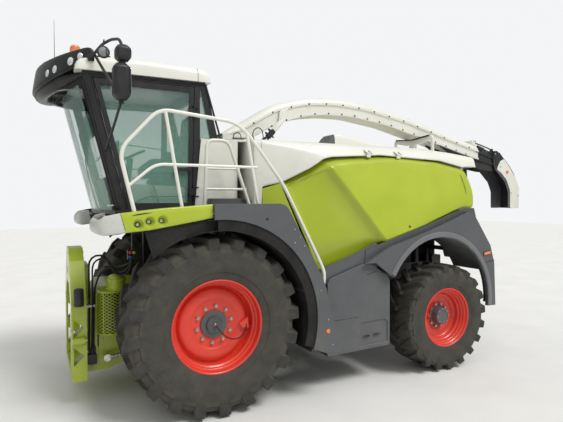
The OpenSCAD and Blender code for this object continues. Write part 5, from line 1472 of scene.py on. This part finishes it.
hose("spout_hose_1", [(1.01, -0.236, 3.196), (0.985, -0.24, 3.262), (1.005, -0.244, 3.33),
        (1.062, -0.246, 3.366), (1.118, -0.247, 3.34), (1.137, -0.247, 3.282), (1.142, -0.246, 3.232)], 0.013,
    "spout_turret", count=24)
hose("spout_hose_2", [(0.7, -0.232, 3.196), (0.7, -0.233, 3.225), (0.7075, -0.234, 3.253),
        (0.728, -0.235, 3.2735), (0.756, -0.236, 3.281), (0.784, -0.235, 3.2735), (0.8045, -0.234, 3.253),
        (0.812, -0.233, 3.225), (0.812, -0.232, 3.197)], 0.012, "spout_turret", count=30)

# Spout flap.
# Cream cheeks with a folded edge over inner side plates drawn grey as painted shade; the back wall is black
# as painted shade of the flap's inside, and the hinge lugs are black.
FLAP_BACK = [(5.912, 3.25), (5.93, 3.252), (5.972, 3.225), (6.068, 3.139), (6.258, 2.964), (6.426, 2.762),
    (6.539, 2.56), (6.527, 2.182)]
FLAP_FRONT = [(6.241, 2.182), (6.236, 2.5), (6.15, 2.68), (5.99, 2.82), (5.892, 2.9), (5.852, 3.0)]
# These inner side plates are drawn grey: painted shade of the flap's side plates in shadow.
painted_shade_plates = [slab(FLAP_BACK[1:] + FLAP_FRONT + [(5.852, 3.214), (5.905, 3.216)], -0.199, -0.193, 0.02)]
piece("flap_side_plates_painted_shade", painted_shade_plates, PANEL_GREY, "spout_flap", ["spout_flap"], mirror=True,
    bevel=0.001)
cheek = rounded([(6.01, 3.06), (6.105, 3.104), (6.258, 2.964), (6.426, 2.762), (6.538, 2.56), (6.527, 2.184),
        (6.29, 2.184), (6.285, 2.52), (6.19, 2.715), (6.06, 2.83), (5.93, 2.905), (5.945, 2.95)], 0.022, 4)
folded = [plate(cheek, -0.208, -0.2)]
folded += [tube([(x, -0.206, z) for x, z in ((6.288, 2.19), (6.283, 2.52), (6.19, 2.715), (6.06, 2.83))],
        0.007, 0.05)]
piece("flap_cheeks", folded, CREAM_ENAMEL, "spout_flap", mirror=True, bevel=0.003)
inner_back = [(x - 0.012, z - 0.01) for x, z in FLAP_BACK[2:]]
# The curved back wall is drawn black: painted shade of the flap's inside.
back = [plate(FLAP_BACK + [(6.513, 2.182)] + inner_back[::-1][1:] + [(5.905, 3.236)], -0.193, 0.193)]
back += [slab([(5.862, 3.15), (5.862, 3.205), (5.905, 3.246), (5.94, 3.24), (6.095, 3.1), (6.01, 3.065),
            (5.935, 2.96), (5.905, 2.915), (5.88, 3.0)], y, y + 0.008, 0.012, 3) for y in (-0.2075, 0.1995)]
back += [plate([(5.905, 3.238), (5.915, 3.3), (5.95, 3.296), (5.972, 3.222)], y - 0.01, y + 0.01)
    for y in (-0.08, 0.08)]
back += [pipe([(x, y, z) for x, z in smooth_path([(6.0, 3.21, 0), (6.12, 3.1, 0), (6.28, 2.955, 0),
                    (6.4, 2.81, 0), (6.44, 2.73, 0)], 14)[:, :2] + [0.006, 0.006]], 0.01, 8)
    for y in (-0.185, 0.185)]
piece("flap_back", back, BLACK_TRIM, "spout_flap")
knobs = at_places(turned([(0.014, -0.2075), (0.014, -0.213), (0.008, -0.217), (0.003, -0.2175)], 10),
    [(5.88, 3.19), (6.02, 2.955), (6.3, 2.47), (6.5, 2.42)])
piece("flap_bolts", knobs, ZINC, "spout_flap", mirror=True)
lens = turned([(0.034, -0.2078), (0.034, -0.2125), (0.028, -0.2155), (0.01, -0.2165)], 28)
piece("flap_reflectors", at_places(lens, [(6.2, 2.86)]), AMBER_LENS, "spout_flap", mirror=True)

# Intake drive, its mesh guard, the coupling frame's fittings and the couplers.
# Lime castings and plates; expanded steel mesh in a half round; zinc clamps and black valve blocks.
dress("intake_housing coupling_frame", LIME_ENAMEL)
GUARD_X, GUARD_Y = -0.96, -0.47


def expanded_mesh():
    """Lime strands round holes painted dark olive as painted shade of the housing behind: |sin| of two
    slanted waves of the way round the guard and of its height.

    Holes are 60 mm wide and 36 mm high."""
    made, tree, bsdf = finish("expanded_mesh", Roughness=0.5)

    def maths(operation, first, second=0.0):
        return node(tree, "ShaderNodeMath", {0: first, 1: second}, operation=operation).outputs[0]

    at = node(tree, "ShaderNodeSeparateXYZ", {0: place(tree)}).outputs
    turn = maths("ARCTAN2", maths("SUBTRACT", at["Y"], GUARD_Y),
        maths("SUBTRACT", at["X"], GUARD_X + FRONT_AXLE_X))
    way, rise = maths("MULTIPLY", turn, 0.152 * math.pi / 0.06), maths("MULTIPLY", at["Z"], math.pi / 0.036)
    waves = [maths("ABSOLUTE", maths("SINE", maths(sign, rise, way))) for sign in ("ADD", "SUBTRACT")]
    # The holes are painted dark olive: painted shade of the housing seen through them; the same mask gives
    # the strands their relief.
    painted_shade_hole = between(tree, maths("MINIMUM", *waves), 0.3, 0.42)
    tree.links.new(blended(tree, painted_shade_hole, "#aebf2e", "#2b2f14"), bsdf.inputs["Base Color"])
    relief(tree, bsdf, maths("SUBTRACT", 1.0, painted_shade_hole), 3.0, 0.9)
    return made


turn = np.radians(np.linspace(180, 360, 32))
wrap = np.stack([np.stack([GUARD_X + 0.1535 * np.cos(turn), GUARD_Y + 0.1535 * np.sin(turn), np.full(32, z)],
            -1) for z in np.linspace(0.79, 1.285, 8)], 1)
piece("mesh_guard", [sheet_grid(wrap)], expanded_mesh(), "intake", solid=-0.003, outward=False)
bands = [pipe([(GUARD_X + 0.155 * math.cos(a), GUARD_Y + 0.155 * math.sin(a), z) for a in turn[1:-1]], 0.008,
        8) for z in (0.796, 1.282)]
bands += [pipe([(GUARD_X + 0.155 * math.cos(a), GUARD_Y + 0.155 * math.sin(a), z)
            for z in (0.79, 1.0, 1.285)], 0.007, 8) for a in np.radians([186, 232, 354])]
gearbox = [(0.103, 1.29), (0.112, 1.293), (0.112, 1.312), (0.104, 1.318), (0.104, 1.366), (0.108, 1.37),
    (0.108, 1.376), (0.104, 1.38), (0.104, 1.404), (0.114, 1.408), (0.114, 1.424), (0.1, 1.43), (0.09, 1.45),
    (0.07, 1.466), (0.058, 1.474), (0.03, 1.48), (0.01, 1.481)]
piece("intake_gearbox", bands + [on_z(turned(gearbox), -0.9, -0.49)], LIME_ENAMEL, "intake")
studs = [on_z(turned([(0.009, 1.423), (0.009, 1.433), (0.004, 1.436)], 6), -0.9 + 0.106 * math.cos(a),
        -0.49 + 0.106 * math.sin(a)) for a in np.radians(np.arange(0, 360, 45))]
studs += at_places(turned([(0.013, -0.4005), (0.013, -0.4205), (0.006, -0.4225)], 6),
    [(-1.05, 0.45), (-1.05, 0.7), (-0.87, 0.62), (-0.87, 0.72), (-0.55, 1.22), (-0.4, 1.13), (-0.7, 0.52),
        (-1.16, 0.4), (-1.16, 1.08)])
clamp = [crossways(rounded([(-0.402, 1.105), (-0.402, 1.135), (-0.475, 1.135), (-0.475, 1.105)], 0.004, 3),
        -1.225, -1.135)]
piece("intake_studs", studs + clamp, ZINC, "intake", bevel=0.001)
block = [crossways([(-0.4005, 0.435), (-0.4005, 0.548), (-0.48, 0.548), (-0.48, 0.435)], -1.235, -1.12),
    pipe([(-1.205, -0.424, z) for z in (0.545, 0.6, 0.612)], (0.019, 0.019, 0.014), 14),
    pipe([(-1.171, -0.437, z) for z in (0.545, 0.6, 0.612)], (0.019, 0.019, 0.014), 14),
    pipe([(-1.143, -0.42, z) for z in (0.545, 0.62, 0.632)], (0.015, 0.015, 0.012), 14),
    pipe([(x, -0.45, 0.49) for x in (-1.232, -1.262, -1.275)], (0.018, 0.018, 0.01), 12)]
strip = [crossways([(-0.4005, 0.62), (-0.4005, 1.09), (-0.4125, 1.09), (-0.4125, 0.62)], -1.105, -1.092)]
piece("intake_valve", block + strip, BLACK_TRIM, "intake", bevel=0.003)

canister = [on_z(turned([(0.03, 1.165), (0.05, 1.172), (0.054, 1.182), (0.054, 1.345), (0.048, 1.362),
                (0.03, 1.37)], 28), -1.325, -0.676)]
piece("coupling_canister", canister, BLACK_TRIM, "coupling_frame")
housing = [pipe([(x, -0.655, 0.77) for x in (-1.398, -1.392, -1.262, -1.256)], (0.036, 0.04, 0.04, 0.036),
        24), crossways(rounded([(-0.6205, 0.715), (-0.6205, 0.825), (-0.668, 0.808), (-0.668, 0.732)], 0.006,
            3), -1.372, -1.36),
    crossways(rounded([(-0.6205, 0.715), (-0.6205, 0.825), (-0.668, 0.808), (-0.668, 0.732)], 0.006, 3),
        -1.294, -1.282), slab([(-1.355, 1.21), (-1.355, 1.25), (-1.295, 1.25), (-1.295, 1.21)], -0.64,
        -0.6205, 0.006, 3)]
piece("coupling_pin_housing", housing, LIME_ENAMEL, "coupling_frame", bevel=0.003)
pins = [pipe([(x, -0.655, 0.77) for x in (-1.24, -1.262)], 0.022, 16),
    pipe([(x, -0.655, 0.77) for x in (-1.392, -1.4)], 0.022, 16)]
rows = [(y, z) for y in (-0.585, 0.585) for z in (0.36, 0.62, 0.88, 1.12)] + [(-0.36, 1.5), (0.36, 1.5),
    (-0.1, 1.72), (0.1, 1.72)]
pins += [pipe([(x, y, z) for x in (-1.4005, -1.402)], 0.015, 6) for y, z in rows]
pins += [pipe([(x, y, z) for x in (-1.2375, -1.226)], 0.015, 6) for y, z in rows]
piece("coupling_pins", pins, ZINC, "coupling_frame", bevel=0.001)

hanger = [plate([(-0.8, 1.665), (-0.8, 1.775), (-0.69, 1.775), (-0.69, 1.665)], -0.74, -0.672),
    plate([(-0.752, 1.77), (-0.752, 2.195), (-0.738, 2.195), (-0.738, 1.77)], -0.725, -0.69)]
hanger += [pipe([(x, -0.706, z) for z in (1.66, 1.64)], 0.017, 14) for x in (-0.76, -0.716)]
piece("coupler_block", hanger, CHASSIS_PAINT, "machine", bevel=0.004)
for number, (name, colour, x, z) in enumerate((("blue_cap", "#1f6fb4", -0.775, 1.7),
            ("red_cap", "#cf2f33", -0.775, 1.75), ("yellow_cap", "#e0b427", -0.735, 1.75),
            ("black_cap", "#242526", -0.735, 1.7))):
    cap = turned([(0.014, -0.7395), (0.017, -0.744), (0.017, -0.768), (0.012, -0.774), (0.004, -0.775)], 20)
    piece("coupler_" + name, at_places(cap, [(x, z)]),
        satin(name + "_plastic", colour, colour, rough=0.4, soiled=0.2), "machine")
